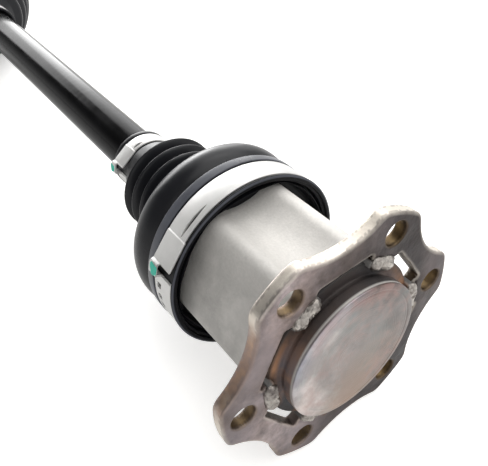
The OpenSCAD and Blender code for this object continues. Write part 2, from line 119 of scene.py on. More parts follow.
# Where the frame's pieces begin and end along the axle, and its mounts' sizes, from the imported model.
PLATE_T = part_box("flange_plate")[1].x
BOSS_H = -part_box("tulip_housing")[0].x
MOUTH_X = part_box("tulip_housing")[1].x
LIP_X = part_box("inner_boot")[0].x
INNER_BOOT_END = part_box("inner_boot")[1].x
OUTER_BOOT_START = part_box("outer_boot")[0].x
OUTER_BOOT_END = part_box("outer_boot")[1].x
BELL_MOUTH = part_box("outer_race")[0].x
BOLT_CIRCLE_R = mounts["flange_bolts"]["dims"]["pcd_mm"] / 2 * MM
BOLT_HOLE_R = mounts["flange_bolts"]["dims"]["hole_r_mm"] * MM
BOSS_R = mounts["boss_pilot"]["dims"]["r_mm"] * MM
EAR_ANGLES = np.radians(np.arange(0, 360, 60))
LOBE_ANGLES = np.radians([30, 150, 270])

# The bar's radius and the gap between pieces that are held together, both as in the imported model's source.
BAR_R = 12.9 * MM
FIT = 0.05 * MM

# How far a clamp's seat runs past the clamp, and how many points the housing's outline has.
SEAT_MARGIN = 1.2 * MM
LOBE_POINTS = 240

# Stains, scale and wear on bare steel, with colours that also stand for painted shade, painted shadow and a painted
# highlight, and other finishes, in linear red, green and blue.
BROWN_SCALE = (0.12, 0.082, 0.062)
COLD_SCALE = (0.11, 0.115, 0.14)
BURNT_PALE = (0.38, 0.25, 0.165)
BURNT_DARK = (0.19, 0.15, 0.145)
BRASS_STAIN_AND_SHADE = (0.05, 0.034, 0.022)
BRASS_PALE = (0.24, 0.165, 0.075)
ROSY_HEAT = (0.36, 0.225, 0.20)
TEAL_HEAT = (0.19, 0.24, 0.235)
ORANGE_HEAT = (0.44, 0.27, 0.17)
BLUE_HEAT = (0.24, 0.29, 0.42)
FOOT_SOOT_AND_SHADE = (0.020, 0.016, 0.017)
FOOT_RUST = (0.34, 0.17, 0.085)
FOOT_BLUE = (0.085, 0.10, 0.13)
FOOT_PAINTED_SHADOW = (0.010, 0.008, 0.008)
STAKE_FOLD = (0.17, 0.15, 0.14)
STAKE_RIDGE = (0.48, 0.45, 0.41)
RUBBER_DUST_AND_HIGHLIGHT = (0.088, 0.092, 0.108)
CLIP_STEEL = (0.12, 0.12, 0.13)
JOINT_STEEL = (0.34, 0.335, 0.33)


# ------------------------------------------------------------------ sizes a user would change
def length(name, text, value):
    """A size in metres with its name, what it is and its value in millimetres."""
    return FloatProperty(name=name, description=text, default=value * MM, unit="LENGTH", precision=5)


def tint(name, text, value):
    """A colour with its name, what it is and its linear red, green and blue."""
    return FloatVectorProperty(name=name, description=text, default=value, size=3, subtype="COLOR", min=0, max=1)


class StageSettings(bpy.types.PropertyGroup):
    eye: FloatVectorProperty(name="Eye", description="Where the camera stands", size=3, unit="LENGTH",
                             precision=5, default=(-0.0939, 0.0906, 0.1789))
    aim: FloatVectorProperty(name="Aim", description="What the camera looks at", size=3, unit="LENGTH",
                             precision=5, default=(0.03118, 0.00484, 0.04852))
    roll: FloatProperty(name="Roll", description="Turn of the camera about its own view, anticlockwise",
                        default=math.radians(-5.487), subtype="ANGLE")
    lens: FloatProperty(name="Lens", description="Focal length for a 36 mm sensor", default=42.34, unit="CAMERA")
    shift: FloatVectorProperty(name="Shift", description="Shift of the picture in shares of its long side",
                               size=2, default=(-0.0635, -0.0471))
    floor_colour: tint("Floor", "Colour of the floor", (0.92, 0.915, 0.905))
    world_light: FloatProperty(name="World light", description="Strength of the world on dull surfaces", default=0.6)
    ceiling: FloatProperty(name="Ceiling", description="Strength of the ceiling that shiny surfaces show",
                           default=0.16)
    window: FloatProperty(name="Window", default=7.0,
                          description="Strength of the window behind the bar that shiny surfaces show")


class FlangeSettings(bpy.types.PropertyGroup):
    rim: length("Ear radius", "Distance from the axis to an ear's tip", 55.8)
    notch_r: length("Notch floor", "Distance from the axis to a notch's floor", 47.8)
    ear_half: FloatProperty(name="Ear half angle", description="Half of an ear's full height",
                            default=math.radians(11), subtype="ANGLE")
    corner: length("Ear corner", "Radius of an ear's corners", 6)
    window_edge: length("Window edge", "Distance from the axis to a window's straight edge", 38)
    window_length: length("Window length", "Length of that straight edge", 25)
    bore: length("Bore", "Radius of the plate's hole around the tabs", 36.5)
    seat_r: length("Seat radius", "Radius of the step in the plate's face that the stakes fill", 38.5)
    seat_t: length("Seat depth", "Depth of that step", 0.4)
    round: length("Edge round", "Radius of the plate's rounded edges", 0.9)
    colour: tint("Plate colour", "Raw forged steel of the plate", (0.185, 0.155, 0.152))
    edge_colour: tint("Edge colour", "Brighter steel along the plate's rim", (0.64, 0.59, 0.52))


class HousingSettings(bpy.types.PropertyGroup):
    face: length("Lobe face", "Distance from the axis to a lobe's flat face", 31.6)
    floor: length("Valley floor", "Distance from the axis to a valley's floor", 28.8)
    valley: length("Valley radius", "Radius of a valley", 23.6)
    corner: length("Lobe corner", "Radius of a lobe's corners", 5.5)
    tab: length("Tab width", "Width of the tabs that pass the plate", 13.6)
    bead: length("Bead height", "Height of the metal upset over each tab", 2.4)
    bore: length("Middle bore", "Radius of the middle clearance bore", 24)
    track: length("Track", "Half width of a roller track", 17.1)
    track_end: length("Track end", "Distance from the axis to a track's outer wall", 27.6)
    cavity: length("Cavity floor", "Station of the cavity's floor", 7)
    web_r: length("Web radius", "Radius of the web round the boss", 34.6)
    web_x: length("Web station", "Depth of that web behind the mounting face", 2.4)
    relief: length("Boss relief", "Step from the boss in to its foot", 1)
    colour: tint("Housing colour", "Shot-blasted forged steel", (0.76, 0.735, 0.695))
    disc_colour: tint("Disc colour", "Turned steel of the closed end", (0.37, 0.335, 0.32))


class BootSettings(bpy.types.PropertyGroup):
    wall: length("Wall", "Thickness of the rubber", 2.2)
    land: length("Land radius", "Radius of the lip and of the land beside the clamp", 42.4)
    sleeve: length("Sleeve radius", "Radius under the large clamp", 41.2)
    band_end: length("Band end", "Station where the land begins", 70.2)
    land_end: length("Land end", "Station where the land ends", 75.4)
    fold: length("Big fold", "Largest radius of the big fold", 42.4)
    fold_tube: length("Big fold's round", "Radius of the big fold's outside", 10)
    crest: length("Crest radius", "Radius of the small folds", 25.8)
    root: length("Root radius", "Radius between the small folds", 19.6)
    last_crest: length("Last crest", "Station of the small fold nearest the bar", 130.5)
    pitch: length("Pitch", "Spacing of the small folds", 8)
    colour: tint("Rubber colour", "Black rubber", (0.0055, 0.0057, 0.0072))


class ClampSettings(bpy.types.PropertyGroup):
    thickness: length("Strap", "Thickness of the strap", 0.9)
    big_width: length("Large width", "Width of the large clamps' straps", 12.4)
    small_width: length("Small width", "Width of the small clamps' straps", 9.5)
    big_ear: length("Large ear", "Height of a large clamp's ear", 3.05)
    small_ear: length("Small ear", "Height of a small clamp's ear", 3.1)
    slit: length("Slit", "Width of the slit in the strap", 1.6)
    window: length("Window", "Width of the first locking window", 1.9)
    colour: tint("Strap colour", "Stainless strip", (0.58, 0.575, 0.56))
    paint: tint("Paint dab", "Green inspection paint on the ears", (0.006, 0.42, 0.30))


class FinishSettings(bpy.types.PropertyGroup):
    steps: IntProperty(name="Steps", description="Points round a turned piece", default=192, min=48, max=512)
    bar_colour: tint("Bar colour", "Gloss black paint", (0.0018, 0.0018, 0.002))
    bell_colour: tint("Bell colour", "Turned steel of the wheel-side joint", (0.30, 0.295, 0.29))
    bearing_colour: tint("Bearing colour", "Ground bearing steel", (0.60, 0.60, 0.61))


# ------------------------------------------------------------------ surfaces
def grid_faces(rows, cols, wrap_rows, wrap_cols):
    """Quads of a grid of points: each joins a point to its next neighbours along both directions."""
    r, c = np.meshgrid(np.arange(rows - (not wrap_rows)), np.arange(cols - (not wrap_cols)), indexing="ij")
    r1 = (r + 1) % rows
    c1 = (c + 1) % cols
    return np.stack([r * cols + c, r1 * cols + c, r1 * cols + c1, r * cols + c1], -1).reshape(-1, 4)


def make_piece(name, grids, material, body, masks=None):
    """One mesh from grids of (points, wraps round its rows, wraps round its columns), welded where they meet."""
    points, faces, first = [], [], 0
    for grid, wrap_rows, wrap_cols in grids:
        rows, cols = grid.shape[:2]
        points.append(grid.reshape(-1, 3))
        faces.append(grid_faces(rows, cols, wrap_rows, wrap_cols) + first)
        first += rows * cols
    mesh = bpy.data.meshes.new(name)
    mesh.from_pydata(np.concatenate(points), [], np.concatenate(faces))
    for key, value in (masks or {}).items():
        mesh.attributes.new(key, "FLOAT", "POINT").data.foreach_set("value", value.astype(np.float32))
    shape = bmesh.new()
    shape.from_mesh(mesh)
    bmesh.ops.remove_doubles(shape, verts=shape.verts, dist=2e-6)
    bmesh.ops.dissolve_degenerate(shape, edges=shape.edges, dist=1e-7)
    bmesh.ops.recalc_face_normals(shape, faces=shape.faces)
    shape.to_mesh(mesh)
    shape.free()
    mesh.polygons.foreach_set("use_smooth", np.ones(len(mesh.polygons), bool))
    mesh.set_sharp_from_angle(angle=math.radians(50))
    mesh.materials.append(material)
    piece = bpy.data.objects.new(name, mesh)
    bpy.context.scene.collection.objects.link(piece)
    if body:
        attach(piece, body)
    return piece


def turned(profile, steps=None):
    """A profile of stations and radii carried round the axle: y is r times the cosine and z r times the sine."""
    steps = steps or bpy.context.scene.axle_finish.steps
    angle = np.linspace(0, 2 * np.pi, steps, endpoint=False)[:, None]
    x, r = np.asarray(profile)[:, 0], np.asarray(profile)[:, 1]
    return np.stack([np.broadcast_to(x, (steps, len(x))), r * np.cos(angle), r * np.sin(angle)], -1)


def rounded(points, cut, steps=5, closed=True):
    """The outline with each corner drawn as a curve between two points that lie cut before and after it.

    Each curve is (1-t)^2 of its start, 2t(1-t) of the corner and t^2 of its end, and cuts stop short of a side's
    middle."""
    p = np.asarray(points, float)
    before, after = np.roll(p, 1, 0), np.roll(p, -1, 0)
    reach = lambda q: np.maximum(np.linalg.norm(q - p, axis=1, keepdims=True), 1e-9)
    size = np.minimum(np.minimum(np.broadcast_to(np.reshape(cut, (-1, 1)), (len(p), 1)), 0.48 * reach(before)),
                      0.48 * reach(after))
    start = p + (before - p) / reach(before) * size
    end = p + (after - p) / reach(after) * size
    t = np.linspace(0, 1, steps)[None, :, None]
    curve = (1 - t) ** 2 * start[:, None] + 2 * t * (1 - t) * p[:, None] + t ** 2 * end[:, None]
    if not closed:
        curve[0], curve[-1] = p[0], p[-1]
    return curve.reshape(-1, p.shape[1])


def arc(centre, r, start, end, count):
    """Points on a circle from one angle in degrees to another."""
    a = np.radians(np.linspace(start, end, count))
    return np.stack([centre[0] + r * np.cos(a), centre[1] + r * np.sin(a)], 1)


def even(points, count, closed=True):
    """The outline again with its points evenly spaced along it."""
    p = np.vstack([points, points[:1]]) if closed else np.asarray(points)
    run = np.concatenate([[0], np.cumsum(np.linalg.norm(np.diff(p, axis=0), axis=1))])
    at = np.linspace(0, run[-1], count, endpoint=not closed)
    return np.stack([np.interp(at, run, p[:, k]) for k in range(p.shape[1])], 1)


def turn(points, angle):
    """Points of a plane turned about the axle."""
    c, s = np.cos(angle), np.sin(angle)
    p = np.asarray(points)
    return np.stack([p[..., 0] * c - p[..., 1] * s, p[..., 0] * s + p[..., 1] * c], -1)


def at_station(plane_points, x):
    """Points of the plane across the axle, set at a station along it."""
    p = np.asarray(plane_points)
    return np.concatenate([np.broadcast_to(np.asarray(x, float)[..., None], p.shape[:-1] + (1,)), p], -1)


def swell(points, size, seed):
    """Smooth unevenness from -1 to 1: the mean of twelve sine waves that run in directions drawn from the seed."""
    rng = np.random.default_rng(seed)
    ways = rng.normal(size=(12, 3))
    ways /= np.linalg.norm(ways, axis=1, keepdims=True)
    waves = np.sin((points @ ways.T) * 2 * np.pi / size * rng.uniform(0.6, 1.6, 12) + rng.uniform(0, 6.3, 12))
    return waves.mean(-1) * 2


def rounding(distance, r):
    """How far a face drops beside an edge of radius r: a quarter circle, then nothing."""
    inside = np.clip(r - distance, 0, r)
    return r - np.sqrt(np.maximum(r * r - inside * inside, 0))


# ------------------------------------------------------------------ node groups and materials
def add_node(tree, kind, settings=None, **inputs):
    """A node with its settings and inputs: an input is a value, or a socket to link from."""
    node = tree.nodes.new(kind)
    for key, value in (settings or {}).items():
        setattr(node, key, value)
    for key, value in inputs.items():
        numbered = key[0] == "i" and key[1:].isdigit()
        target = node.inputs[int(key[1:]) if numbered else key.replace("_", " ")]
        if isinstance(value, bpy.types.NodeSocket):
            tree.links.new(value, target)
        else:
            target.default_value = value
    return node


def new_group(name, inputs, outputs):
    """An empty shader group with its sockets, its entry and its exit."""
    tree = bpy.data.node_groups.new(name, "ShaderNodeTree")
    for label, kind, value in inputs:
        socket = tree.interface.new_socket(label, in_out="INPUT", socket_type=kind)
        if value is not None:
            socket.default_value = value
    for label, kind in outputs:
        tree.interface.new_socket(label, in_out="OUTPUT", socket_type=kind)
    return tree, tree.nodes.new("NodeGroupInput").outputs, tree.nodes.new("NodeGroupOutput").inputs


def ramp(tree, value, low, high, low_out=0.0, high_out=1.0):
    """Value stretched from one span to another and held at both ends."""
    return add_node(tree, "ShaderNodeMapRange", {"clamp": True}, Value=value, From_Min=low, From_Max=high,
                    To_Min=low_out, To_Max=high_out).outputs["Result"]


def mix(tree, share, first, second):
    """A mix of two colours by a share."""
    node = add_node(tree, "ShaderNodeMix", {"data_type": "RGBA"})
    for socket, value in ((node.inputs[0], share), (node.inputs[6], first), (node.inputs[7], second)):
        if isinstance(value, bpy.types.NodeSocket):
            tree.links.new(value, socket)
        else:
            socket.default_value = value
    return node.outputs[2]


def math_node(tree, operation, a, b=0.0):
    """One sum on two values."""
    return add_node(tree, "ShaderNodeMath", {"operation": operation}, i0=a, i1=b).outputs[0]


def times(tree, a, b):
    """The product of two values."""
    return math_node(tree, "MULTIPLY", a, b)


def split(tree, vector):
    """A vector's three parts."""
    return add_node(tree, "ShaderNodeSeparateXYZ", Vector=vector).outputs


def scaled(tree, colour, gain):
    """A colour made lighter or darker by a value."""
    return add_node(tree, "ShaderNodeVectorMath", {"operation": "SCALE"}, i0=colour, Scale=gain).outputs[0]


def mask_of(tree, name):
    """One of the mesh's own masks."""
    return add_node(tree, "ShaderNodeAttribute", {"attribute_name": name}).outputs["Fac"]


def build_mottle():
    """Cloudy change between two colours, with the mask that drives it."""
    tree, given, out = new_group("mottle", [("Vector", "NodeSocketVector", None), ("Scale", "NodeSocketFloat", 40.0),
                                            ("Low", "NodeSocketColor", None), ("High", "NodeSocketColor", None),
                                            ("Spread", "NodeSocketFloat", 0.2)],
                                 [("Color", "NodeSocketColor"), ("Mask", "NodeSocketFloat")])
    noise = add_node(tree, "ShaderNodeTexNoise", Vector=given["Vector"], Scale=given["Scale"], Detail=6.0,
                     Roughness=0.62).outputs["Fac"]
    low = math_node(tree, "SUBTRACT", 0.5, given["Spread"])
    high = math_node(tree, "ADD", 0.5, given["Spread"])
    mask = ramp(tree, noise, low, high)
    tree.links.new(mix(tree, mask, given["Low"], given["High"]), out["Color"])
    tree.links.new(mask, out["Mask"])
    return tree


def build_grain():
    """Fine cast or moulded grain as a height, from pits and from noise."""
    tree, given, out = new_group("grain", [("Vector", "NodeSocketVector", None), ("Scale", "NodeSocketFloat", 900.0),
                                           ("Pits", "NodeSocketFloat", 0.4)], [("Height", "NodeSocketFloat")])
    noise = add_node(tree, "ShaderNodeTexNoise", Vector=given["Vector"], Scale=given["Scale"], Detail=3.0,
                     Roughness=0.6).outputs["Fac"]
    half = times(tree, given["Scale"], 0.45)
    cells = add_node(tree, "ShaderNodeTexVoronoi", Vector=given["Vector"], Scale=half).outputs["Distance"]
    pits = times(tree, cells, given["Pits"])
    tree.links.new(math_node(tree, "ADD", noise, pits), out["Height"])
    return tree


def build_turning():
    """Rings left by a lathe: noise that changes only with the distance from the axle."""
    tree, given, out = new_group("turning", [("Vector", "NodeSocketVector", None),
                                             ("Scale", "NodeSocketFloat", 1500.0)],
                                 [("Height", "NodeSocketFloat")])
    parts = split(tree, given["Vector"])
    square = math_node(tree, "ADD", times(tree, parts["Y"], parts["Y"]), times(tree, parts["Z"], parts["Z"]))
    radius = math_node(tree, "SQRT", square)
    rings = add_node(tree, "ShaderNodeTexNoise", {"noise_dimensions": "1D"}, W=radius, Scale=given["Scale"],
                     Detail=2.0).outputs["Fac"]
    tree.links.new(rings, out["Height"])
    return tree


def build_strap_marks():
    """Fine marks that run round the axle: noise stretched round it, from the angle and the station."""
    tree, given, out = new_group("strap_marks", [("Vector", "NodeSocketVector", None)],
                                 [("Height", "NodeSocketFloat")])
    parts = split(tree, given["Vector"])
    angle = math_node(tree, "ARCTAN2", parts["Z"], parts["Y"])
    where = add_node(tree, "ShaderNodeCombineXYZ", X=times(tree, parts["X"], 2600.0),
                     Y=times(tree, angle, 1.5)).outputs[0]
    tree.links.new(add_node(tree, "ShaderNodeTexNoise", Vector=where, Scale=1.0, Detail=2.0).outputs["Fac"],
                   out["Height"])
    return tree


GROUPS = {}


def groups():
    """The shared node groups, built once."""
    if not GROUPS:
        GROUPS.update(mottle=build_mottle(), grain=build_grain(), turning=build_turning(),
                      strap_marks=build_strap_marks())
    return GROUPS


def use_group(tree, name, **inputs):
    """One of the shared groups placed in a material."""
    node = tree.nodes.new("ShaderNodeGroup")
    node.node_tree = groups()[name]
    for key, value in inputs.items():
        if isinstance(value, bpy.types.NodeSocket):
            tree.links.new(value, node.inputs[key])
        else:
            node.inputs[key].default_value = value
    return node.outputs


def new_material(name, **constants):
    """A material with its shader's plain values, its node tree, the shader and the object coordinates."""
    material = bpy.data.materials.new(name)
    material.use_nodes = True
    tree = material.node_tree
    shader = tree.nodes["Principled BSDF"]
    for key, value in constants.items():
        shader.inputs[key.replace("_", " ")].default_value = value
    return material, tree, shader.inputs, tree.nodes.new("ShaderNodeTexCoord").outputs["Object"]


def bump(tree, height, strength, distance, normal=None):
    """A normal bent by a height."""
    inputs = {"Height": height, "Strength": strength, "Distance": distance}
    if normal is not None:
        inputs["Normal"] = normal
    return add_node(tree, "ShaderNodeBump", **inputs).outputs["Normal"]


def rgba(colour, gain=1.0):
    """A colour with its alpha, lighter or darker by a gain."""
    return (*(min(1.0, c * gain) for c in colour), 1.0)


def patches(tree, where, scale, spread):
    """A mask of cloudy patches, from 0 to 1."""
    return use_group(tree, "mottle", Vector=where, Scale=scale, Low=(0, 0, 0, 1), High=(1, 1, 1, 1),
                     Spread=spread)["Mask"]


def clouded(tree, shader, where, scale, spread, low, high, rough):
    """Cloudy colour between two, with a roughness between two that follows the same clouds."""
    cloud = use_group(tree, "mottle", Vector=where, Scale=scale, Low=low, High=high, Spread=spread)
    tree.links.new(cloud["Color"], shader["Base Color"])
    tree.links.new(ramp(tree, cloud["Mask"], 0, 1, *rough), shader["Roughness"])


def plate_rim(tree, where, parts, worn, colour):
    """Colour of the plate's rubbed rim: bright, and burnt in patches on its left and low sides."""
    left_side = times(tree, ramp(tree, parts["Z"], 0.043, 0.035),
                      times(tree, ramp(tree, parts["Z"], 0.000, 0.010), ramp(tree, parts["Y"], 0.015, 0.025)))
    low_side = math_node(tree, "MAXIMUM", left_side, ramp(tree, parts["Z"], -0.010, -0.03))
    burnt = mix(tree, worn, rgba(BURNT_PALE), rgba(BURNT_DARK))
    share = times(tree, ramp(tree, patches(tree, where, 30.0, 0.10), 0, 1, 0.45, 1.0), low_side)
    return mix(tree, share, rgba(colour), burnt)


def painted_light_across_plate(tree, parts):
    """Painted light and shade on the plate's face: lightness rising from its right side to its left, and its two ends
    evened.
    """
    rise = math_node(tree, "ADD", ramp(tree, parts["Y"], -0.030, 0.006, 0.27, 0.64),
                     ramp(tree, parts["Y"], 0.006, 0.026, 0.0, 1.2))
    ends = math_node(tree, "SUBTRACT", ramp(tree, parts["Y"], -0.038, -0.046, 0.0, 0.35),
                     ramp(tree, parts["Y"], 0.038, 0.052, 0.0, 0.65))
    return math_node(tree, "ADD", rise, ends)


def plate_steel():
    """Dark forged plate: scale with brown and cold stains, a worn rim, brassy stains at its holes whose dark end also
    stands for painted shade there, and painted light and shade across its face.
    """
    colours = bpy.context.scene.axle_flange
    material, tree, shader, where = new_material("plate_steel", Metallic=1.0)
    parts = split(tree, where)
    cloud = use_group(tree, "mottle", Vector=where, Scale=70.0, Low=rgba(colours.colour, 0.45),
                      High=rgba(colours.colour, 1.6), Spread=0.12)
    face = mix(tree, times(tree, patches(tree, where, 24.0, 0.1), 0.6), cloud["Color"], rgba(BROWN_SCALE))
    face = mix(tree, times(tree, patches(tree, where, 33.0, 0.1), 0.35), face, rgba(COLD_SCALE))
    worn = patches(tree, where, 160.0, 0.3)
    rim = plate_rim(tree, where, parts, worn, colours.edge_colour)
    bright = times(tree, mask_of(tree, "edge"), ramp(tree, worn, 0, 1, 0.10, 0.95))
    # The face's colour is scaled by the painted light and shade across it.
    shade = mix(tree, bright, scaled(tree, face, painted_light_across_plate(tree, parts)), rim)
    shade = mix(tree, mask_of(tree, "wall"), shade, rim)
    # Brass-brown stain at the holes; its dark end is also painted shade on the hole and window walls.
    brass_and_shade = mix(tree, worn, rgba(BRASS_STAIN_AND_SHADE), rgba(BRASS_PALE))
    shade = mix(tree, times(tree, mask_of(tree, "hole"), 0.9), shade, brass_and_shade)
    tree.links.new(shade, shader["Base Color"])
    tree.links.new(ramp(tree, cloud["Mask"], 0, 1, 0.42, 0.56), shader["Roughness"])
    skin = use_group(tree, "grain", Vector=where, Scale=520.0, Pits=0.7)["Height"]
    broad = add_node(tree, "ShaderNodeTexNoise", Vector=where, Scale=95.0, Detail=3.0).outputs["Fac"]
    tree.links.new(bump(tree, skin, 0.32, 0.0003, bump(tree, broad, 0.35, 0.0012)), shader["Normal"])
    return material


def blasted_skin_with_shade(tree, where, parts, cloud, colour):
    """Colour of the blasted skin: smeared and specked, with painted shade that darkens it to the left, where patches
    of it are rubbed pale.
    """
    shade = mix(tree, times(tree, patches(tree, where, 22.0, 0.08), 0.30), cloud, rgba(colour, 0.70))
    shade = mix(tree, times(tree, patches(tree, where, 1000.0, 0.2), 0.42), shade, rgba(colour, 0.66))
    # Painted shade: the skin darkens towards its left side.
    shade = scaled(tree, shade, ramp(tree, parts["Y"], 0.002, 0.026, 1.0, 0.56))
    rubbed = times(tree, patches(tree, where, 36.0, 0.08), ramp(tree, parts["Y"], 0.010, 0.022, 0.0, 0.36))
    return mix(tree, rubbed, shade, rgba(colour, 0.92))


def turned_disc_with_light(tree, where, parts, reach, warm, cool, colour):
    """Colour of the turned closed end: rosy and teal heat tints, orange low down, blue along its upper left rim, and
    painted light that brightens its left side and a crescent near its left rim and darkens its top.
    """
    base = use_group(tree, "mottle", Vector=where, Scale=110.0, Low=rgba(colour, 0.86), High=rgba(colour, 1.24),
                     Spread=0.14)
    # Painted light and shade: a bright crescent near the rim on the left, the disc lighter to the left and darker
    # towards the top.
    crescent = times(tree, ramp(tree, reach, 0.0175, 0.0215, 0.0, 0.6), ramp(tree, parts["Y"], -0.002, 0.010))
    light = math_node(tree, "ADD", ramp(tree, parts["Y"], -0.018, 0.010, 0.48, 0.86), crescent)
    light = math_node(tree, "SUBTRACT", light, ramp(tree, parts["Z"], 0.010, 0.026, 0.0, 0.32))
    shade = scaled(tree, base["Color"], light)
    shade = mix(tree, times(tree, patches(tree, where, 84.0, 0.08), 0.5), shade, rgba(ROSY_HEAT))
    shade = mix(tree, times(tree, patches(tree, where, 47.0, 0.08), 0.45), shade, rgba(TEAL_HEAT))
    orange = times(tree, times(tree, warm, ramp(tree, parts["Z"], 0.004, -0.026)), 0.40)
    shade = mix(tree, orange, shade, rgba(ORANGE_HEAT))
    high_side = ramp(tree, math_node(tree, "ADD", parts["Z"], parts["Y"]), 0.018, 0.040)
    blue = times(tree, times(tree, high_side, mask_of(tree, "rim")), 0.32)
    return mix(tree, times(tree, blue, ramp(tree, cool, 0, 1, 0.5, 1.0)), shade, rgba(BLUE_HEAT))


def stained_and_shaded_foot(tree, parts, reach, warm, cool):
    """Colour round the boss's foot: soot that also stands for painted shade in the recess, rust and blue stains, and a
    black painted shadow furthest from the axis.
    """
    shade = mix(tree, times(tree, warm, ramp(tree, parts["Z"], 0.026, 0.010, 0.08, 1.0)), rgba(FOOT_SOOT_AND_SHADE),
                rgba(FOOT_RUST))
    blue_place = times(tree, ramp(tree, reach, 0.0325, 0.0305, 0.0, 0.8),
                       ramp(tree, parts["Z"], 0.022, 0.010, 0.2, 1.0))
    shade = mix(tree, times(tree, cool, blue_place), shade, rgba(FOOT_BLUE))
    return mix(tree, ramp(tree, reach, 0.0335, 0.0350), shade, rgba(FOOT_PAINTED_SHADOW))


def housing_steel():
    """Housing: blasted skin with painted shade, turned steel with painted light where the disc mask is set, and stains
    with painted shade where the dark mask is set.
    """
    colours = bpy.context.scene.axle_housing
    material, tree, shader, where = new_material("housing_steel")
    parts = split(tree, where)
    across = add_node(tree, "ShaderNodeCombineXYZ", Y=parts["Y"], Z=parts["Z"]).outputs[0]
    reach = add_node(tree, "ShaderNodeVectorMath", {"operation": "LENGTH"}, i0=across).outputs["Value"]
    cloud = use_group(tree, "mottle", Vector=where, Scale=48.0, Low=rgba(colours.colour, 0.88),
                      High=rgba(colours.colour, 1.10), Spread=0.2)
    warm, cool = patches(tree, where, 30.0, 0.09), patches(tree, where, 52.0, 0.15)
    disc = mask_of(tree, "disc")
    shade = mix(tree, disc, blasted_skin_with_shade(tree, where, parts, cloud["Color"], colours.colour),
                turned_disc_with_light(tree, where, parts, reach, warm, cool, colours.disc_colour))
    shade = mix(tree, mask_of(tree, "dark"), shade, stained_and_shaded_foot(tree, parts, reach, warm, cool))
    tree.links.new(shade, shader["Base Color"])
    dull = ramp(tree, cloud["Mask"], 0, 1, 0.58, 0.70)
    tree.links.new(math_node(tree, "SUBTRACT", dull, times(tree, disc, 0.24)), shader["Roughness"])
    tree.links.new(ramp(tree, disc, 0, 1, 0.30, 1.0), shader["Metallic"])
    skin = use_group(tree, "grain", Vector=where, Scale=820.0, Pits=0.5)["Height"]
    lathe = use_group(tree, "turning", Vector=where, Scale=1700.0)["Height"]
    rings = times(tree, lathe, times(tree, disc, 0.9))
    plain = math_node(tree, "SUBTRACT", 1.0, times(tree, disc, 0.75))
    height = math_node(tree, "ADD", times(tree, skin, plain), rings)
    tree.links.new(bump(tree, height, 0.30, 0.0003), shader["Normal"])
    return material


def bead_steel():
    """Crushed metal of the stakes: bright ridges and dark folds."""
    material, tree, shader, where = new_material("bead_steel", Metallic=1.0)
    clouded(tree, shader, where, 210.0, 0.16, rgba(STAKE_FOLD), rgba(STAKE_RIDGE), (0.48, 0.26))
    fold = add_node(tree, "ShaderNodeTexNoise", Vector=where, Scale=420.0, Detail=4.0, Distortion=0.8).outputs["Fac"]
    tree.links.new(bump(tree, fold, 0.7, 0.0012), shader["Normal"])
    return material


def rubber(name, colour, rough=0.30, gain=1.0, gloss=0.28):
    """Moulded black rubber: satin, a little dusty, paler where its mask of dust, painted sheen and painted highlight
    is set, with a fine moulded skin.
    """
    material, tree, shader, where = new_material(name, Specular_IOR_Level=gloss)
    dust = use_group(tree, "mottle", Vector=where, Scale=34.0, Low=rgba(colour, gain), High=rgba(colour, 1.7 * gain),
                     Spread=0.2)
    dust_and_highlight_share = times(tree, mask_of(tree, "dust_and_highlight"), ramp(tree, dust["Mask"], 0, 1, 0.55, 1.0))
    tree.links.new(mix(tree, dust_and_highlight_share, dust["Color"], rgba(RUBBER_DUST_AND_HIGHLIGHT)), shader["Base Color"])
    tree.links.new(ramp(tree, dust["Mask"], 0, 1, rough - 0.04, rough + 0.08), shader["Roughness"])
    skin = use_group(tree, "grain", Vector=where, Scale=1300.0, Pits=0.2)["Height"]
    tree.links.new(bump(tree, skin, 0.10, 0.0002), shader["Normal"])
    return material


def strap_steel():
    """Stainless strip: bright, with fine marks along it and slightly stained places."""
    colour = bpy.context.scene.axle_clamps.colour
    material, tree, shader, where = new_material("strap_steel", Metallic=0.35)
    clouded(tree, shader, where, 85.0, 0.2, rgba(colour, 0.90), rgba(colour, 1.06), (0.36, 0.46))
    marks = use_group(tree, "strap_marks", Vector=where)["Height"]
    tree.links.new(bump(tree, marks, 0.12, 0.0002), shader["Normal"])
    return material


def gloss_paint():
    """Gloss black paint with a hint of orange peel and dust."""
    material, tree, shader, where = new_material("gloss_paint", Specular_IOR_Level=0.05)
    colour = bpy.context.scene.axle_finish.bar_colour
    clouded(tree, shader, where, 60.0, 0.15, rgba(colour), rgba(colour, 1.9), (0.11, 0.17))
    peel = add_node(tree, "ShaderNodeTexNoise", Vector=where, Scale=260.0, Detail=1.0).outputs["Fac"]
    tree.links.new(bump(tree, peel, 0.05, 0.0004), shader["Normal"])
    return material


def turned_steel(name, colour, rough):
    """Turned steel: fine marks round the axle and a slightly uneven sheen."""
    material, tree, shader, where = new_material(name, Metallic=1.0)
    clouded(tree, shader, where, 40.0, 0.2, rgba(colour, 0.88), rgba(colour, 1.12), (rough - 0.04, rough + 0.06))
    marks = use_group(tree, "strap_marks", Vector=where)["Height"]
    tree.links.new(bump(tree, marks, 0.16, 0.0003), shader["Normal"])
    return material


def dab_paint(name, colour):
    """Paint of a dab: one colour with a slight change in it."""
    material, tree, shader, where = new_material(name, Specular_IOR_Level=0.2)
    clouded(tree, shader, where, 300.0, 0.2, rgba(colour, 0.8), rgba(colour, 1.15), (0.35, 0.45))
    return material


def repaint(nodes, material):
    """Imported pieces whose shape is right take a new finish."""
    for name in nodes:
        mesh = frame["nodes"][name].data
        mesh.materials.clear()
        mesh.materials.append(material)


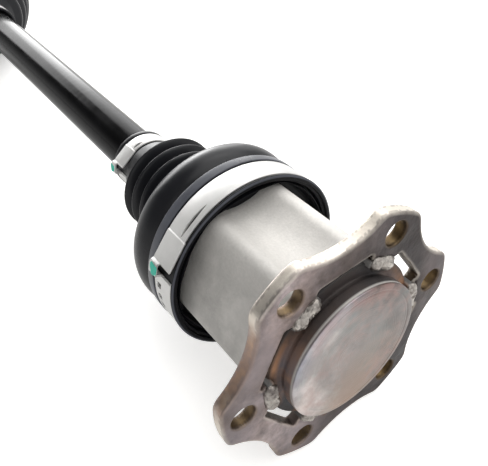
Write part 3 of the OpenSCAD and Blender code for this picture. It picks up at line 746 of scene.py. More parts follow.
# ------------------------------------------------------------------ outlines shared by pieces
def lobed_outline(grow=0.0):
    """Three flats, three valleys and six rounded corners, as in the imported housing."""
    s = bpy.context.scene.axle_housing
    corner, hollow = s.corner + grow, s.valley - grow
    valley = (s.floor + s.valley) * np.array([math.cos(math.radians(60)), math.sin(math.radians(60))])
    cx = s.face + grow - corner
    cy = valley[1] - math.sqrt((hollow + corner) ** 2 - (cx - valley[0]) ** 2)
    lean = math.degrees(math.atan2(valley[1] - cy, valley[0] - cx))
    third = np.vstack([arc((cx, -cy), corner, -lean, 0, 12), arc((cx, cy), corner, 0, lean, 12),
                       arc(valley, hollow, 180 + lean, 300 - lean, 24)[1:-1]])
    return even(np.vstack([turn(third, a) for a in LOBE_ANGLES]), LOBE_POINTS)


def ear_outline():
    """One ear between the middles of two notches: notch, fillet, tip, fillet, notch."""
    s = bpy.context.scene.axle_flange
    half = math.radians(30) - s.ear_half
    notch = (s.rim ** 2 + s.notch_r ** 2 - 2 * s.rim * s.notch_r * math.cos(half)) / (
        2 * (s.rim * math.cos(half) - s.notch_r))
    middle = s.notch_r + notch
    reach = s.rim - s.corner
    lean = math.acos((reach ** 2 + middle ** 2 - (notch + s.corner) ** 2) / (2 * reach * middle))
    dip = math.asin(reach * math.sin(lean) / (notch + s.corner))
    fillet = (reach * math.cos(lean), reach * math.sin(lean))
    lean_deg, dip_deg = math.degrees(lean), math.degrees(dip)
    right = np.vstack([arc((middle, 0), notch, 180, 180 - dip_deg, 12),
                       arc(fillet, s.corner, -dip_deg, lean_deg, 12)[1:]])
    right = turn(right, math.radians(-30))
    tip = arc((0, 0), s.rim, lean_deg - 30, 30 - lean_deg, 10)[1:-1]
    left = right[::-1] * [1, -1]
    return np.vstack([right, tip, left])


def window_outline():
    """The plate's inner edge behind one ear: half a window, the bore, half a window."""
    s = bpy.context.scene.axle_flange
    half = s.window_length / 2
    foot = math.sqrt(s.bore ** 2 - half ** 2)
    side = np.vstack([[(s.window_edge, 0), (s.window_edge, half), (foot, half)]])
    side = turn(rounded(side, np.array([0, 1.6, 0.4]) * MM, 6, closed=False), math.radians(-30))
    end = math.degrees(math.atan2(side[-1, 1], side[-1, 0]))
    bore = arc((0, 0), s.bore, end, -end, 12)[1:-1]
    return np.vstack([side, bore, side[::-1] * [1, -1]])


# ------------------------------------------------------------------ placing by the photograph
def camera_axes():
    """The camera's place and its right, up and back directions."""
    camera = bpy.context.scene.camera
    turned_by = camera.matrix_world.to_3x3()
    return camera.matrix_world.translation, turned_by


def picture_ray(point):
    """The eye, and the direction through a point of the photograph."""
    camera = bpy.context.scene.camera
    eye, axes = camera_axes()
    lens = camera.data
    x = point[0] - IMAGE_W / 2 + lens.shift_x * LONG_SIDE
    y = IMAGE_H / 2 - point[1] + lens.shift_y * LONG_SIDE
    return eye, (axes @ Vector((x, y, -LONG_SIDE * lens.lens / lens.sensor_width))).normalized()


def place_on(point, carriers):
    """Where a point of the photograph lies on its carriers, with the surface's direction there.

    The ray through it meets them, and a miss takes their place nearest the ray."""
    shapes = [BVHTree.FromObject(o, bpy.context.evaluated_depsgraph_get()) for o in carriers]
    eye, way = picture_ray(point)
    hits = [s.ray_cast(eye, way) for s in shapes]
    hits = [h for h in hits if h[0] is not None]
    if hits:
        best = min(hits, key=lambda h: h[3])
        return best[0], best[1]
    steps = [eye + way * d for d in np.linspace(0.05, 0.8, 400)]
    near = min((s.find_nearest(q) for q in steps for s in shapes), key=lambda h: h[3])
    return near[0], near[1]


# ------------------------------------------------------------------ pieces
class AXLE_OT_stage(bpy.types.Operator):
    """Camera at the photograph's angle, pale floor, soft lamps and a white background"""

    bl_idname = "axle.stage"
    bl_label = "Stage"

    def execute(self, context):
        s = context.scene.axle_stage
        data = bpy.data.cameras.new("camera")
        data.lens = s.lens
        data.sensor_width = 36.0
        data.sensor_fit = "AUTO"
        data.shift_x, data.shift_y = s.shift
        data.clip_start = 0.005
        camera = bpy.data.objects.new("camera", data)
        context.scene.collection.objects.link(camera)
        ahead = (Vector(s.aim) - Vector(s.eye)).normalized()
        level = ahead.cross(Vector((0, 0, 1))).normalized()
        axes = Matrix((level, level.cross(ahead), -ahead)).transposed()
        camera.matrix_world = (Matrix.Translation(s.eye) @ Matrix.Rotation(s.roll, 4, -ahead) @ axes.to_4x4())
        context.scene.camera = camera
        context.view_layer.update()
        self.lamps(context)
        self.floor(context, s)
        self.world(context, s)
        context.scene.view_settings.view_transform = "Standard"
        return {"FINISHED"}

    def lamps(self, context):
        """Soft lamps as name, place, what they face, size and power."""
        for name, place, target, size, power in (
                ("bar_light", (1.5, -0.75, 0.42), (0.2, 0, 0), 1.0, 8.0),
                ("side", (0.75, -0.62, 0.74), (0.05, 0, 0), 1.3, 7.0),
                ("top", (-0.22, -0.5, 1.0), (0.04, 0, 0), 1.3, 9.5),
                ("front_fill", (-0.7, 0.35, 0.45), (0.0, 0, 0), 0.6, 1.2)):
            lamp = bpy.data.lights.new(name, "AREA")
            lamp.size = size
            lamp.energy = power
            holder = bpy.data.objects.new(name, lamp)
            holder.location = place
            holder.rotation_mode = "QUATERNION"
            holder.rotation_quaternion = (Vector(target) - Vector(place)).to_track_quat("-Z", "Y")
            context.scene.collection.objects.link(holder)

    def floor(self, context, s):
        """A wide flat sheet just under the part, white to the camera with the part's shadow."""
        low = cad_low.z - 0.0002
        run = np.array([(-3.0, low), (3.0, low)])
        grid = np.stack([np.stack([np.full(2, y), run[:, 0], run[:, 1]], -1) for y in (-3.0, 3.0)])
        material, tree, shader, _ = new_material("floor", Roughness=0.9)
        shader["Base Color"].default_value = rgba(s.floor_colour)
        seen = add_node(tree, "ShaderNodeLightPath").outputs
        glow = math_node(tree, "ADD", times(tree, seen["Is Camera Ray"], 0.42),
                         times(tree, seen["Is Glossy Ray"], 0.08))
        shader["Emission Color"].default_value = (1.0, 0.992, 0.98, 1.0)
        tree.links.new(glow, shader["Emission Strength"])
        mesh = bpy.data.meshes.new("floor")
        mesh.from_pydata(grid.reshape(-1, 3), [], grid_faces(2, 2, False, False))
        mesh.materials.append(material)
        sheet = bpy.data.objects.new("floor", mesh)
        context.scene.collection.objects.link(sheet)

    def world(self, context, s):
        """White where the camera looks and round the horizon, with a dimmer ceiling for shiny surfaces to show."""
        world = bpy.data.worlds.new("world")
        context.scene.world = world
        world.use_nodes = True
        tree = world.node_tree
        seen = add_node(tree, "ShaderNodeLightPath").outputs
        clear = math_node(tree, "MAXIMUM", seen["Is Camera Ray"], seen["Is Transmission Ray"])
        way = split(tree, add_node(tree, "ShaderNodeTexCoord").outputs["Generated"])
        ceiling = ramp(tree, way["Z"], 0.06, 0.34, 1.0, s.ceiling)
        screen = ramp(tree, way["Y"], -0.12, -0.26, 0.0, 1.0)
        pane = times(tree, ramp(tree, way["X"], 0.85, 0.89), ramp(tree, way["Y"], 0.20, 0.14))
        pane = times(tree, pane, ramp(tree, way["Z"], 0.56, 0.46, 0.0, s.window))
        lit = math_node(tree, "MAXIMUM", math_node(tree, "MAXIMUM", ceiling, screen), pane)
        shiny = times(tree, seen["Is Glossy Ray"], lit)
        plain = math_node(tree, "SUBTRACT", 1.0, math_node(tree, "MAXIMUM", clear, seen["Is Glossy Ray"]))
        strength = math_node(tree, "ADD", math_node(tree, "MAXIMUM", clear, shiny),
                             times(tree, plain, s.world_light))
        shade = tree.nodes["Background"]
        shade.inputs["Color"].default_value = (1, 1, 1, 1)
        tree.links.new(strength, shade.inputs["Strength"])


class AXLE_OT_flange(bpy.types.Operator):
    """Forged plate with six ears, six bolt holes and six windows, its edges rounded and rubbed bright"""

    bl_idname = "axle.flange"
    bl_label = "Flange plate"

    def execute(self, context):
        s = context.scene.axle_flange
        grids, edge, wall, hole = [], [], [], []
        outer = even(ear_outline(), 72, closed=False)
        inner = even(window_outline(), 60, closed=False)
        side = np.linspace(0, 1, 20)[1:-1, None]
        around = np.vstack([outer, outer[-1] * (1 - side) + inner[-1] * side, inner[::-1],
                            inner[0] * (1 - side) + outer[0] * side])
        centre = np.array([BOLT_CIRCLE_R, 0])
        bearing = np.unwrap(np.arctan2(around[:, 1] - centre[1], around[:, 0] - centre[0]))
        ring = centre + BOLT_HOLE_R * np.stack([np.cos(bearing), np.sin(bearing)], 1)
        share = np.concatenate([np.linspace(0, 0.09, 7)[:-1], np.linspace(0.09, 0.90, 22)[:-1],
                                np.linspace(0.90, 1, 9)])
        flat = ring[:, None] * (1 - share[None, :, None]) + around[:, None] * share[None, :, None]
        points = flat.reshape(-1, 2)
        to_rim = np.minimum(self.open_distance(points, outer), self.open_distance(points, inner))
        to_hole = np.abs(np.linalg.norm(points - centre, axis=1) - BOLT_HOLE_R)
        drop = rounding(np.minimum(to_rim, to_hole), s.round).reshape(flat.shape[:2])
        seat = self.seat(s, flat)
        relief = 0.00012
        inner_start = len(outer) + len(side)
        walls = ((outer, slice(0, len(outer))), (inner[::-1], slice(inner_start, inner_start + len(inner))))
        for angle in EAR_ANGLES:
            spot = turn(flat, angle)
            level = (drop == 0) & (seat == 0)
            front = at_station(spot, drop + seat)
            front[..., 0] += swell(front * [0, 1, 1], 0.016, 3) * relief * level
            back = at_station(spot, PLATE_T - drop)
            for grid in (front, back):
                grids.append((grid, True, False))
                edge.append(np.clip(1 - to_rim / (1.6 * s.round), 0, 1))
                wall.append(np.zeros(len(points)))
                hole.append(np.clip(1 - to_hole / (1.1 * s.round), 0, 1) * 0.6)
            for line, where in walls:
                start = (s.round + seat)[where, -1]
                grids.append((self.wall_strip(turn(line, angle), start, s.round), False, False))
            grids.append((self.wall_strip(turn(ring, angle), np.full(len(ring), s.round), s.round), True, False))
            for kind, (grid, _, _) in zip(("wall", "inside", "hole"), grids[-3:]):
                size = grid.shape[0] * grid.shape[1]
                edge.append(np.zeros(size))
                wall.append(np.full(size, 1.0 if kind == "wall" else 0.0))
                hole.append(np.full(size, {"wall": 0.0, "inside": 0.35, "hole": 1.0}[kind]))
        masks = {"edge": np.concatenate(edge), "wall": np.concatenate(wall), "hole": np.concatenate(hole)}
        piece = make_piece("flange_plate_look", grids, plate_steel(), "housing", masks)
        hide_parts("flange_plate")
        return {"FINISHED"}

    @staticmethod
    def seat(s, flat):
        """How deep the face lies inside the step for the stakes: nothing outside it, its full depth within."""
        return s.seat_t * np.clip((s.seat_r - np.linalg.norm(flat, axis=-1)) / (0.15 * MM), 0, 1)

    @staticmethod
    def wall_strip(line, start, end):
        """The plate's edge along a line, from where the front's rounding stops to where the back's begins."""
        share = np.linspace(0, 1, 5)
        depth = start[:, None] * (1 - share) + (PLATE_T - end) * share
        return at_station(np.repeat(line[:, None], len(share), 1), depth)

    @staticmethod
    def open_distance(points, line):
        """Distance from each point to an open line: the least over its sides."""
        a, d = line[:-1], np.diff(line, axis=0)
        t = np.clip(((points[:, None] - a) * d).sum(-1) / np.maximum((d * d).sum(-1), 1e-18), 0, 1)
        return np.linalg.norm(points[:, None] - (a + t[..., None] * d), axis=-1).min(1)


class AXLE_OT_housing(bpy.types.Operator):
    """Lobed housing with its turned closed end, six tabs and the roller tracks inside"""

    bl_idname = "axle.housing"
    bl_label = "Joint housing"

    def execute(self, context):
        s = context.scene.axle_housing
        outline = lobed_outline()
        count = len(outline)
        bearing = np.arctan2(outline[:, 1], outline[:, 0])
        on_circle = lambda r: r * np.stack([np.cos(bearing), np.sin(bearing)], 1)
        cavity = self.cavity(s, bearing)
        rim = 0.7 * MM
        skin = [at_station(outline * (1 - 0.02 * f), PLATE_T + g * MM)
                for f, g in ((1.0, 0.0), (0.35, 0.2), (0.08, 0.55))]
        skin += [at_station(outline, x) for x in np.linspace(PLATE_T + 1.0 * MM, MOUTH_X - rim, 36)]
        skin += [at_station(outline * 0.985, MOUTH_X)]
        body = np.stack(skin, 1)
        relief = 0.00005
        body += swell(body, 0.03, 5)[..., None] * np.array([0, 1, 1]) * relief
        front = np.stack([at_station(on_circle(s.web_r) * (1 - t) + outline * 0.98 * t, PLATE_T)
                          for t in np.linspace(0, 1, 6)], 1)
        mouth = np.stack([at_station(outline * 0.985 * (1 - t) + cavity * t, MOUTH_X)
                          for t in np.linspace(0, 1, 4)], 1)
        inside = np.stack([at_station(cavity, x) for x in np.linspace(MOUTH_X, s.cavity, 10)], 1)
        back = np.stack([at_station(cavity * t, s.cavity) for t in np.linspace(1, 0.001, 5)], 1)
        corners = self.disc_profile()
        disc = turned(rounded(corners[:, :2], corners[:, 2], 5, closed=False), count)
        grids = [(g, True, False) for g in (body, front, mouth, inside, back, disc)]
        front_at, disc_at, disc_edge = 1, 5, 1.3 * MM - BOSS_H
        sizes = [g[0].shape[0] * g[0].shape[1] for g in grids]
        on_disc, dark, edge = ([np.zeros(n) for n in sizes] for _ in range(3))
        points = disc.reshape(-1, 3)
        radius = np.hypot(points[:, 1], points[:, 2])
        on_disc[disc_at] = np.where(points[:, 0] < disc_edge, 1.0, 0.0)
        # The dark mask takes stains and painted shade: the boss's side wall, the web in front and the tabs.
        dark[disc_at] = np.clip((points[:, 0] - disc_edge) / (0.9 * MM), 0, 0.97)
        edge[disc_at] = np.clip((radius - 0.018) / 0.011, 0, 1)
        dark[front_at][:] = 1.0
        for angle in EAR_ANGLES:
            tab = self.tab(s, angle)
            grids.append((tab, True, False))
            size = tab.shape[0] * tab.shape[1]
            on_disc.append(np.zeros(size))
            dark.append(np.full(size, 0.8))
            edge.append(np.zeros(size))
        masks = {"disc": np.concatenate(on_disc), "dark": np.concatenate(dark), "rim": np.concatenate(edge)}
        piece = make_piece("joint_housing_look", grids, housing_steel(), "housing", masks)
        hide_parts("tulip_housing")
        return {"FINISHED"}

    @staticmethod
    def disc_profile():
        """Closed end from its side wall to its middle: rounded rim, shallow turned groove, slightly hollow face.

        Each corner has its station, its radius and how far it is rounded."""
        s, face = bpy.context.scene.axle_housing, -BOSS_H
        foot = BOSS_R - s.relief
        wall = [(PLATE_T, s.web_r, 0), (s.web_x, s.web_r, 0.6 * MM), (s.web_x, foot, 0.9 * MM),
                (0.2 * MM, foot, 0.3 * MM), (-0.1 * MM, BOSS_R, 0.2 * MM)]
        rim = [(face + 2.3 * MM, BOSS_R, 0.1 * MM), (face + 1.5 * MM, BOSS_R, 0.1 * MM),
               (face + 0.2 * MM, BOSS_R, 0.9 * MM), (face, BOSS_R - 1.0 * MM, 0.9 * MM)]
        groove = [(face, 27.6 * MM, 0.2 * MM), (face + 0.16 * MM, 27.3 * MM, 0.15 * MM),
                  (face + 0.16 * MM, 26.9 * MM, 0.15 * MM), (face, 26.6 * MM, 0.2 * MM)]
        hollow = [(face + 0.05 * MM, 20 * MM, 3 * MM), (face + 0.12 * MM, 10 * MM, 3 * MM),
                  (face + 0.15 * MM, 0.02 * MM, 0)]
        return np.array(wall + rim + groove + hollow)

    @staticmethod
    def cavity(s, bearing):
        """Outline of the cavity at each bearing, at the wider of the middle bore and the three straight tracks."""
        radius = np.full(len(bearing), s.bore)
        for a in LOBE_ANGLES:
            c, d = np.cos(bearing - a), np.abs(np.sin(bearing - a))
            box = np.minimum(s.track_end / np.maximum(c, 1e-3), s.track / np.maximum(d, 1e-3))
            radius = np.where(c > 0, np.maximum(radius, box), radius)
        return radius[:, None] * np.stack([np.cos(bearing), np.sin(bearing)], 1)

    @staticmethod
    def tab(s, angle):
        """A tab as a rounded block from the boss out to an arc that clears the plate's bore by the fit."""
        half, reach = s.tab / 2, plate_bore() - FIT
        foot = s.web_r - 1.5 * MM
        side = math.degrees(math.asin(half / reach))
        plan = rounded(np.vstack([(foot, -half), arc((0, 0), reach, -side, side, 9), (foot, half)]), 0.5 * MM, 4)
        middle = plan.mean(0)
        top = bpy.context.scene.axle_flange.seat_t
        rows = [(0.02, top), (0.96, top), (1.0, top + 0.3 * MM), (1.0, PLATE_T), (0.02, PLATE_T)]
        return np.stack([at_station(turn(middle + (plan - middle) * f, angle), x) for f, x in rows], 1)


def plate_bore():
    """Radius of the plate's hole round the tabs."""
    return bpy.context.scene.axle_flange.bore


class AXLE_OT_beads(bpy.types.Operator):
    """Metal upset over the six tabs, each lump ragged in its own way"""

    bl_idname = "axle.beads"
    bl_label = "Stake beads"

    def execute(self, context):
        s = context.scene.axle_housing
        grids = [(self.lump(s, angle, seed), False, False) for seed, angle in enumerate(EAR_ANGLES)]
        piece = make_piece("stake_beads_look", grids, bead_steel(), "housing")
        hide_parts("stake_beads")
        return {"FINISHED"}

    @staticmethod
    def lump(s, angle, seed):
        """A crescent dome that swells unevenly, with u along it and v across it, both from -1 to 1.

        Its width falls as the root of 1 - u^6, and its height as the roots of 1 - v^2 and of 1 - u^4."""
        half_width, half_angle, inset = 3.0 * MM, np.radians(10.5), 1.4 * MM
        u, v = np.meshgrid(np.linspace(-1, 1, 61), np.linspace(-1, 1, 33), indexing="ij")
        bearing = angle + half_angle * u
        radius = plate_bore() - inset + half_width * np.sqrt(np.maximum(1 - u ** 6, 0)) * v
        height = np.maximum(1 - v ** 2, 0) ** 0.5 * np.maximum(1 - u ** 4, 0) ** 0.5
        points = np.stack([-s.bead * height, radius * np.cos(bearing), radius * np.sin(bearing)], -1)
        rough = swell(points, 0.005, 20 + seed) * 0.30 + swell(points, 0.0022, 40 + seed) * 0.16
        sunk = bpy.context.scene.axle_flange.seat_t
        points[..., 0] = sunk - (s.bead + sunk) * height * np.clip(0.78 + rough, 0.25, 1.0)
        return points


class AXLE_OT_adapter(bpy.types.Operator):
    """Rubber filler between the lobed housing and the round boot"""

    bl_idname = "axle.adapter"
    bl_label = "Boot adapter"

    def execute(self, context):
        s = context.scene.axle_boots
        inner = lobed_outline(FIT)
        bearing = np.arctan2(inner[:, 1], inner[:, 0])
        outside = s.sleeve - s.wall - FIT
        rim = outside * np.stack([np.cos(bearing), np.sin(bearing)], 1)
        front = LIP_X + 1.4 * MM
        rows = [(0.0, 18.2), (0.0, 6.0), (0.04, 5.6), (0.5, 5.4), (0.66, 4.6), (0.70, 2.4), (0.74, 0.5),
                (0.77, 0.0), (0.80, 0.0), (0.83, 0.8), (0.85, 3.0), (0.90, 3.4), (0.96, 3.4), (1.0, 3.0),
                (1.0, 18.4), (0.0, 18.4)]
        flatten = 0.04
        share, depth = even(rounded(np.array(rows) * [1, flatten], 0.02, 4, closed=False), 90, closed=False).T
        depth = depth / flatten
        grid = np.stack([at_station(inner * (1 - f) + rim * f, front + d * MM) for f, d in zip(share, depth)], 1)
        grid[..., 0] = np.minimum(grid[..., 0], MOUTH_X)
        # A darker, less shiny copy of the boot's rubber, as painted shade in the recess round the housing.
        material = rubber("shaded_adapter_rubber", s.colour, 0.42, 0.6, 0.12)
        piece = make_piece("boot_adapter_look", [(grid, True, False)], material, "housing")
        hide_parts("boot_adapter")
        return {"FINISHED"}


def boot_shell(outside, wall, cut):
    """A closed profile of even wall inside a boot's outline, with its corners rounded."""
    outside = np.asarray(outside, float)
    inside = outside[::-1] - [0, wall]
    return rounded(np.vstack([outside, inside]), cut, 4)


def collar(clamp, wall):
    """Radius of the rubber that a clamp holds on the bar, and where the seat starts and ends, from the clamp's box."""
    low, high = clamp
    return BAR_R + FIT + wall, low.x - SEAT_MARGIN, high.x + SEAT_MARGIN


class AXLE_OT_inner_boot(bpy.types.Operator):
    """Boot over the plunging joint: lip, land and big fold in one piece, then small folds towards the bar in another
    """

    bl_idname = "axle.inner_boot"
    bl_label = "Inner boot"

    def execute(self, context):
        s = context.scene.axle_boots
        material = rubber("boot_rubber", s.colour)
        first_root = s.last_crest - 3.5 * s.pitch
        seam, seam_r = first_root - 6.4 * MM, s.fold - 10.2 * MM
        lip = self.big_fold(s, material, seam, seam_r)
        folds_piece = self.small_folds(s, material, seam, seam_r, first_root)
        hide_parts("inner_boot")
        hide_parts("inner_boot")
        return {"FINISHED"}

    def big_fold(self, s, material, seam, seam_r):
        """The lip, the seat under the clamp, the land and the big fold, as far as the seam with the small folds."""
        x = LIP_X
        fold_x = s.land_end + 9.5 * MM
        big_fold = arc((0, 0), s.fold_tube, 140, 24, 34)
        big = np.stack([fold_x + big_fold[:, 0], s.fold - s.fold_tube + big_fold[:, 1]], 1)
        front = np.vstack([[(x, s.land - 1.9 * MM), (x, s.land - 0.6 * MM), (x + 0.5 * MM, s.land),
                            (x + 1.3 * MM, s.land), (x + 1.45 * MM, s.sleeve), (s.band_end, s.sleeve),
                            (s.band_end + 0.1 * MM, s.land), (s.land_end - 0.8 * MM, s.land),
                            (s.land_end, s.land - 1.5 * MM)],
                           big, [(seam, seam_r)]])
        inner_front = front[::-1] - [0, s.wall]
        inner_front[-4:, 0] = x + np.array([1.35, 1.2, 0.8, 0.25]) * MM
        inner_front[-4:, 1] = s.land - s.wall
        skin = turned(rounded(np.vstack([front, inner_front]), 0.35 * MM, 4))
        at, out = skin[..., 0].ravel(), np.hypot(skin[..., 1], skin[..., 2]).ravel()
        # Paler rubber on the land beside the clamp is dust and painted sheen; the line on the lip's front outer corner
        # is a painted highlight.
        land = (at > s.band_end) & (at < s.land_end + 0.4 * MM) & (out > s.land - 0.8 * MM)
        painted_lip_highlight = (at < x + 0.52 * MM) & (out > s.land - 0.8 * MM)
        masks = {"dust_and_highlight": land * 1.0 + painted_lip_highlight * 0.9}
        lip = make_piece("inner_boot_big_fold", [(skin, True, True)], material, None, masks)
        self.shade_seats(lip.data, s)
        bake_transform(lip)
        return lip

    @staticmethod
    def small_folds(s, material, seam, seam_r, first_root):
        """Small folds as a cosine wave of radius along the bar, then the neck under the clamp and its end."""
        t = np.linspace(0, 3.5, 92)
        middle, half = (s.crest + s.root) / 2, (s.crest - s.root) / 2
        folds = np.stack([first_root + s.pitch * t, middle - half * np.cos(2 * np.pi * t)], 1)
        seat_r, start, end = collar(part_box("inner_small_clamp"), s.wall)
        tail = np.array([(s.last_crest + s.pitch * 0.75, seat_r + 1.2 * MM), (start, seat_r + 1.0 * MM),
                         (start + 0.1 * MM, seat_r), (end - 0.1 * MM, seat_r), (end, seat_r + 1.0 * MM),
                         (INNER_BOOT_END, seat_r + 1.0 * MM)])
        outside = np.vstack([[(seam, seam_r), (first_root - 2.2 * MM, s.root + 3.6 * MM)], folds[2:], tail])
        skin = turned(boot_shell(outside, s.wall, 0.5 * MM))
        folds_piece = make_piece("inner_boot_small_folds", [(skin, True, True)], material, None)
        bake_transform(folds_piece)
        return folds_piece

    @staticmethod
    def shade_seats(mesh, s):
        """The lip in front of the clamp and the seat under it take a darker, less shiny copy of the rubber as painted
        shade.
        """
        mesh.materials.append(rubber("shaded_seat_rubber", s.colour, 0.45, 0.6, 0.10))
        centre = np.zeros(len(mesh.polygons) * 3)
        mesh.polygons.foreach_get("center", centre)
        x, y, z = centre.reshape(-1, 3).T
        r = np.hypot(y, z)
        front = x < LIP_X + 1.5 * MM
        seat = (x > LIP_X + 1.4 * MM) & (x < s.band_end) & (r > s.sleeve - 1.0 * MM) & (r < s.land - 0.3 * MM)
        mesh.polygons.foreach_set("material_index", (front | seat).astype(np.int32))


class AXLE_OT_outer_boot(bpy.types.Operator):
    """Boot over the ball joint: four growing folds between two clamps"""

    bl_idname = "axle.outer_boot"
    bl_label = "Outer boot"

    def execute(self, context):
        s = context.scene.axle_boots
        x = OUTER_BOOT_START
        seat_r, start, end = collar(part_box("outer_small_clamp"), s.wall)
        bell_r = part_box("outer_race")[1].y + FIT + s.wall
        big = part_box("outer_large_clamp")
        head = [(x, seat_r + 1 * MM), (start, seat_r + 1 * MM), (start + 0.1 * MM, seat_r),
                (end - 0.1 * MM, seat_r), (end, seat_r + 1 * MM), (end + 5 * MM, seat_r + 1 * MM)]
        crests = np.array([(26, 27.5, 3.5), (32.5, 41, 4.5), (39, 57, 5), (45.5, 74.5, 5.2)]) * MM
        roots = np.array([(24, 22), (33, 23), (48.5, 29), (65.5, 35)]) * MM
        folds = []
        for (r, station, tube), (dip, low) in zip(crests, roots):
            top = arc((0, 0), tube, 165, 20, 16)
            folds += [[(x + dip, low)], np.stack([x + station + top[:, 0], r + top[:, 1]], 1)]
        tail = [(BELL_MOUTH - 8 * MM, 44 * MM), (BELL_MOUTH - 1 * MM, bell_r), (big[1].x + 1 * MM, bell_r),
                (big[1].x + 1.1 * MM, bell_r + 1 * MM), (OUTER_BOOT_END, bell_r + 1 * MM)]
        outside = np.vstack([head, *folds, tail])
        profile = boot_shell(outside, s.wall, 0.8 * MM)
        material = rubber("outer_boot_rubber", s.colour)
        piece = make_piece("outer_boot_look", [(turned(profile), True, True)], material, None)
        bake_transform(piece)
        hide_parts("outer_boot")
        return {"FINISHED"}


class AXLE_OT_clamps(bpy.types.Operator):
    """Strap clamps with a folded ear, a slit, locking windows and an opening beside the fold, and two paint dabs"""

    bl_idname = "axle.clamps"
    bl_label = "Clamps"

    def execute(self, context):
        s = context.scene.axle_clamps
        steel = strap_steel()
        made = {}
        for node, body, angle, width, ear in (
                ("inner_large_clamp", "housing", 22.5, s.big_width, s.big_ear),
                ("inner_small_clamp", "shaft", 17.5, s.small_width, s.small_ear),
                ("outer_large_clamp", "bell", 30, s.big_width, s.big_ear),
                ("outer_small_clamp", "shaft", 60, s.small_width, s.small_ear)):
            low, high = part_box(node)
            mid = -low.y - s.thickness / 2
            grids = self.strips(s, (low.x + high.x) / 2, mid, width, math.radians(angle), ear)
            made[node] = make_piece(node + "_look", grids, steel, body)
            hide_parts(node)
        self.dab(context, "big_clamp_paint", made["inner_large_clamp"], "housing", (5.6, 5.2))
        self.dab(context, "small_clamp_paint", made["inner_small_clamp"], "shaft", (4.4, 4.2))
        return {"FINISHED"}

    @staticmethod
    def path(mid, ear, start, foot):
        """Middle line of the strap from the ear's foot round the axle, up a low ramp and over the ear's flat top.

        Its points are distances outwards and round, measured at the ear's middle."""
        on_ring = lambda t: (math.sqrt(mid * mid - t * t), t)
        foot_deg, start_deg = math.degrees(math.asin(foot / mid)), math.degrees(math.asin(start / mid))
        ring = arc((0, 0), mid, 359.4 + foot_deg, 0.6 + start_deg, 200)
        climb = np.array([on_ring(start), (mid + 0.46 * ear, 1.06 * ear), (mid + 0.62 * ear, 0.98 * ear),
                          (mid + ear, 0.80 * ear), (mid + 1.05 * ear, 0), (mid + ear, -0.80 * ear),
                          (on_ring(foot)[0] + 0.1 * ear, 0.96 * foot)])
        cuts = np.r_[np.full(200, 0.1), 0.5, 0.3, 0.4, 0.6, 0.6, 0.6, 0.4] * MM
        return even(rounded(np.vstack([ring, climb]), cuts, 5), 1100)

    def strips(self, s, x, mid, width, angle, ear):
        """The strap's flat section carried along its path, as two strips that part at the slit and at the windows.

        The strip towards the bar is a closed ring, and the other stops at the crest and starts again at the foot."""
        start, foot = min(5.2 * ear, 0.72 * mid), -0.85 * ear
        line = self.path(mid, ear, start, foot)
        ahead = np.roll(line, -1, 0) - np.roll(line, 1, 0)
        out = np.stack([ahead[:, 1], -ahead[:, 0]], 1) / np.linalg.norm(ahead, axis=1, keepdims=True)
        out *= np.sign((out * line).sum(1).mean())
        run = np.arctan2(line[:, 1], line[:, 0]) * mid
        ramp_run, foot_run = math.asin(start / mid) * mid, math.asin(foot / mid) * mid
        doubled = np.interp(run, [0, 1.2 * ear, ramp_run - 0.2 * MM, ramp_run + 0.2 * MM], [0, 1, 1, 0])
        line = line + out * (doubled * 0.45 * MM)[:, None]
        gap = self.lens(run, ramp_run + 0.4 * MM, ramp_run + 0.4 * mid) * s.slit + 0.006 * MM
        for below, size in ((6.0 * MM, s.window), (12.4 * MM, 0.95 * s.window), (17.4 * MM, 0.95 * s.window)):
            gap += (np.abs(run - foot_run + below) < 0.8 * size) * 1.5 * size
        middle = width * np.interp(run, [-np.pi * mid, foot_run - 14 * MM, foot_run - 5 * MM, foot_run, 1.1 * ear,
                                         ramp_run, ramp_run + 0.4 * mid, np.pi * mid],
                                   [0.05, 0.24, 0.2, 0.08, 0.08, -0.18, -0.18, 0.05])
        half = np.full(len(line), width / 2)
        turned_line, turned_out = turn(line, angle), turn(out, angle)
        far = self.strip(x, turned_line, turned_out, middle + gap / 2, half, s.thickness / 2, 1)
        near = self.strip(x, turned_line, turned_out, middle - gap / 2,
                          -half + (1 - doubled) * (run > 0) * 0.8 * MM, s.thickness / 2, -1)
        near = near[:np.flatnonzero((line[:, 1] > 1.02 * ear) & (line[:, 0] > 0)).max()]
        ends = [np.broadcast_to(row.mean(0), row.shape)[None] for row in (near[0], near[-1])]
        return [(far, True, True), (np.concatenate([ends[0], near, ends[1]]), False, True)]

    @staticmethod
    def lens(run, first, last):
        """The opening of a slit along the strap: a sine wave's first half to the power 0.7, nothing outside."""
        share = np.clip((run - first) / (last - first), 0, 1)
        return np.sin(np.pi * share) ** 0.7

    @staticmethod
    def strip(x, line, out, cut_edge, free_edge, thick, way):
        """A strip's section along a line: a rectangle from its cut edge to its free edge, with rounded corners."""
        c = 0.22 * MM
        shape = np.array([(0, 0, -thick), (1, -c, -thick), (1, -0.3 * c, -thick + 0.3 * c), (1, 0, -thick + c),
                          (1, 0, thick - c), (1, -0.3 * c, thick - 0.3 * c), (1, -c, thick), (0, 0, thick)])
        share, inset, height = shape.T
        station = x + cut_edge[:, None] * (1 - share) + free_edge[:, None] * share + way * inset
        plane = line[:, None] + out[:, None] * height[None, :, None]
        return np.concatenate([station[..., None], plane], -1)

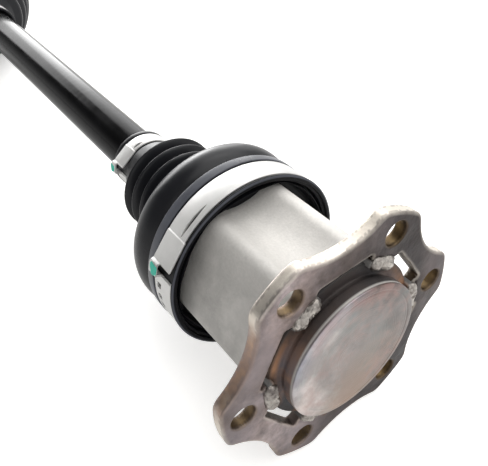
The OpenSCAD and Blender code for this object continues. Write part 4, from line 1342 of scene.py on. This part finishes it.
    @staticmethod
    def dab(context, point, carrier, body, size):
        """A blot of paint laid on the ear where the photograph shows it, up to 0.11 mm proud."""
        place, out = place_on(POINTS[point], [carrier])
        across = Vector((1, 0, 0))
        along = out.cross(across).normalized()
        across = along.cross(out).normalized()
        angle = np.linspace(0, 2 * np.pi, 48, endpoint=False)[:, None]
        share = np.linspace(0.001, 1, 8)[None, :]
        edge = 1 + 0.10 * np.sin(3 * angle + 1) + 0.06 * np.sin(5 * angle)
        a = np.sign(np.cos(angle)) * np.abs(np.cos(angle)) ** 0.7 * size[0] / 2 * MM * edge * share
        b = np.sign(np.sin(angle)) * np.abs(np.sin(angle)) ** 0.7 * size[1] / 2 * MM * edge * share
        crown, rim = 0.09 * MM, 0.02 * MM
        lift = crown * np.sqrt(np.maximum(1 - share ** 4, 0)) + rim + 0 * angle
        grid = (np.array(place) + a[..., None] * np.array(along) + b[..., None] * np.array(across)
                + lift[..., None] * np.array(out))
        paint = dab_paint(point, context.scene.axle_clamps.paint)
        make_piece(point, [(grid, True, False)], paint, body)


class AXLE_OT_bar(bpy.types.Operator):
    """Gloss black paint on the bar"""

    bl_idname = "axle.bar"
    bl_label = "Bar"

    def execute(self, context):
        repaint(["axle_shaft"], gloss_paint())
        return {"FINISHED"}


class AXLE_OT_joint_parts(bpy.types.Operator):
    """Finishes of the wheel-side bell and of everything inside both joints"""

    bl_idname = "axle.joint_parts"
    bl_label = "Joint parts"

    def execute(self, context):
        s = context.scene.axle_finish
        names = sorted(frame["nodes"])
        bearing = [n for n in names if n.startswith(("roller_", "inner_ring_", "needles_")) or n == "balls"]
        clips = [n for n in names if n.startswith("washers_") or n.endswith("circlip")]
        repaint(["outer_race"], turned_steel("bell_steel", s.bell_colour, 0.32))
        repaint(bearing, turned_steel("bearing_steel", s.bearing_colour, 0.14))
        repaint(clips, turned_steel("clip_steel", CLIP_STEEL, 0.35))
        repaint(["tripod_spider", "inner_race", "ball_cage"], turned_steel("joint_steel", JOINT_STEEL, 0.28))
        return {"FINISHED"}


class AXLE_OT_check_points(bpy.types.Operator):
    """Gathers the finished vertices of each rendered piece, and of the small folds nearest the bar"""

    bl_idname = "axle.check_points"
    bl_label = "Check image points"

    def execute(self, context):
        shown = self.visible(context)
        fold, small = shown["inner_boot_big_fold"], shown["inner_boot_small_folds"]
        boot = context.scene.axle_boots
        small = small[small[:, 0] < boot.last_crest + boot.pitch / 2]
        return {"FINISHED"}

    @staticmethod
    def visible(context):
        """Finished vertices of each rendered piece, by its name, with those that another piece hides."""
        graph = context.evaluated_depsgraph_get()
        shown = {}
        for piece in context.scene.objects:
            if piece.type != "MESH" or piece.hide_render or piece.name == "floor":
                continue
            mesh = piece.evaluated_get(graph).to_mesh()
            points = np.zeros(len(mesh.vertices) * 3)
            mesh.vertices.foreach_get("co", points)
            shown[piece.name] = points.reshape(-1, 3)
        return shown


class AXLE_PT_panel(bpy.types.Panel):
    """Lists the pieces in the sidebar"""

    bl_label = "Axle"
    bl_idname = "AXLE_PT_panel"
    bl_space_type = "VIEW_3D"
    bl_region_type = "UI"
    bl_category = "Axle"

    def draw(self, context):
        for operator in OPERATORS:
            self.layout.operator(operator.bl_idname)


OPERATORS = (AXLE_OT_stage, AXLE_OT_flange, AXLE_OT_housing, AXLE_OT_beads, AXLE_OT_adapter, AXLE_OT_inner_boot,
             AXLE_OT_outer_boot, AXLE_OT_clamps, AXLE_OT_bar, AXLE_OT_joint_parts, AXLE_OT_check_points)
SETTINGS = {"axle_stage": StageSettings, "axle_flange": FlangeSettings, "axle_housing": HousingSettings,
            "axle_boots": BootSettings, "axle_clamps": ClampSettings, "axle_finish": FinishSettings}


def register():
    """Makes the settings, operators and panel known."""
    for name, settings in SETTINGS.items():
        bpy.utils.register_class(settings)
        setattr(bpy.types.Scene, name, PointerProperty(type=settings))
    for item in (*OPERATORS, AXLE_PT_panel):
        bpy.utils.register_class(item)


def unregister():
    """Takes them away again."""
    for item in (AXLE_PT_panel, *reversed(OPERATORS)):
        bpy.utils.unregister_class(item)
    for name, settings in SETTINGS.items():
        delattr(bpy.types.Scene, name)
        bpy.utils.unregister_class(settings)


def main():
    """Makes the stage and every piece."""
    register()
    for operator in OPERATORS:
        group, name = operator.bl_idname.split(".")
        getattr(getattr(bpy.ops, group), name)()


if __name__ == "__main__":
    main()
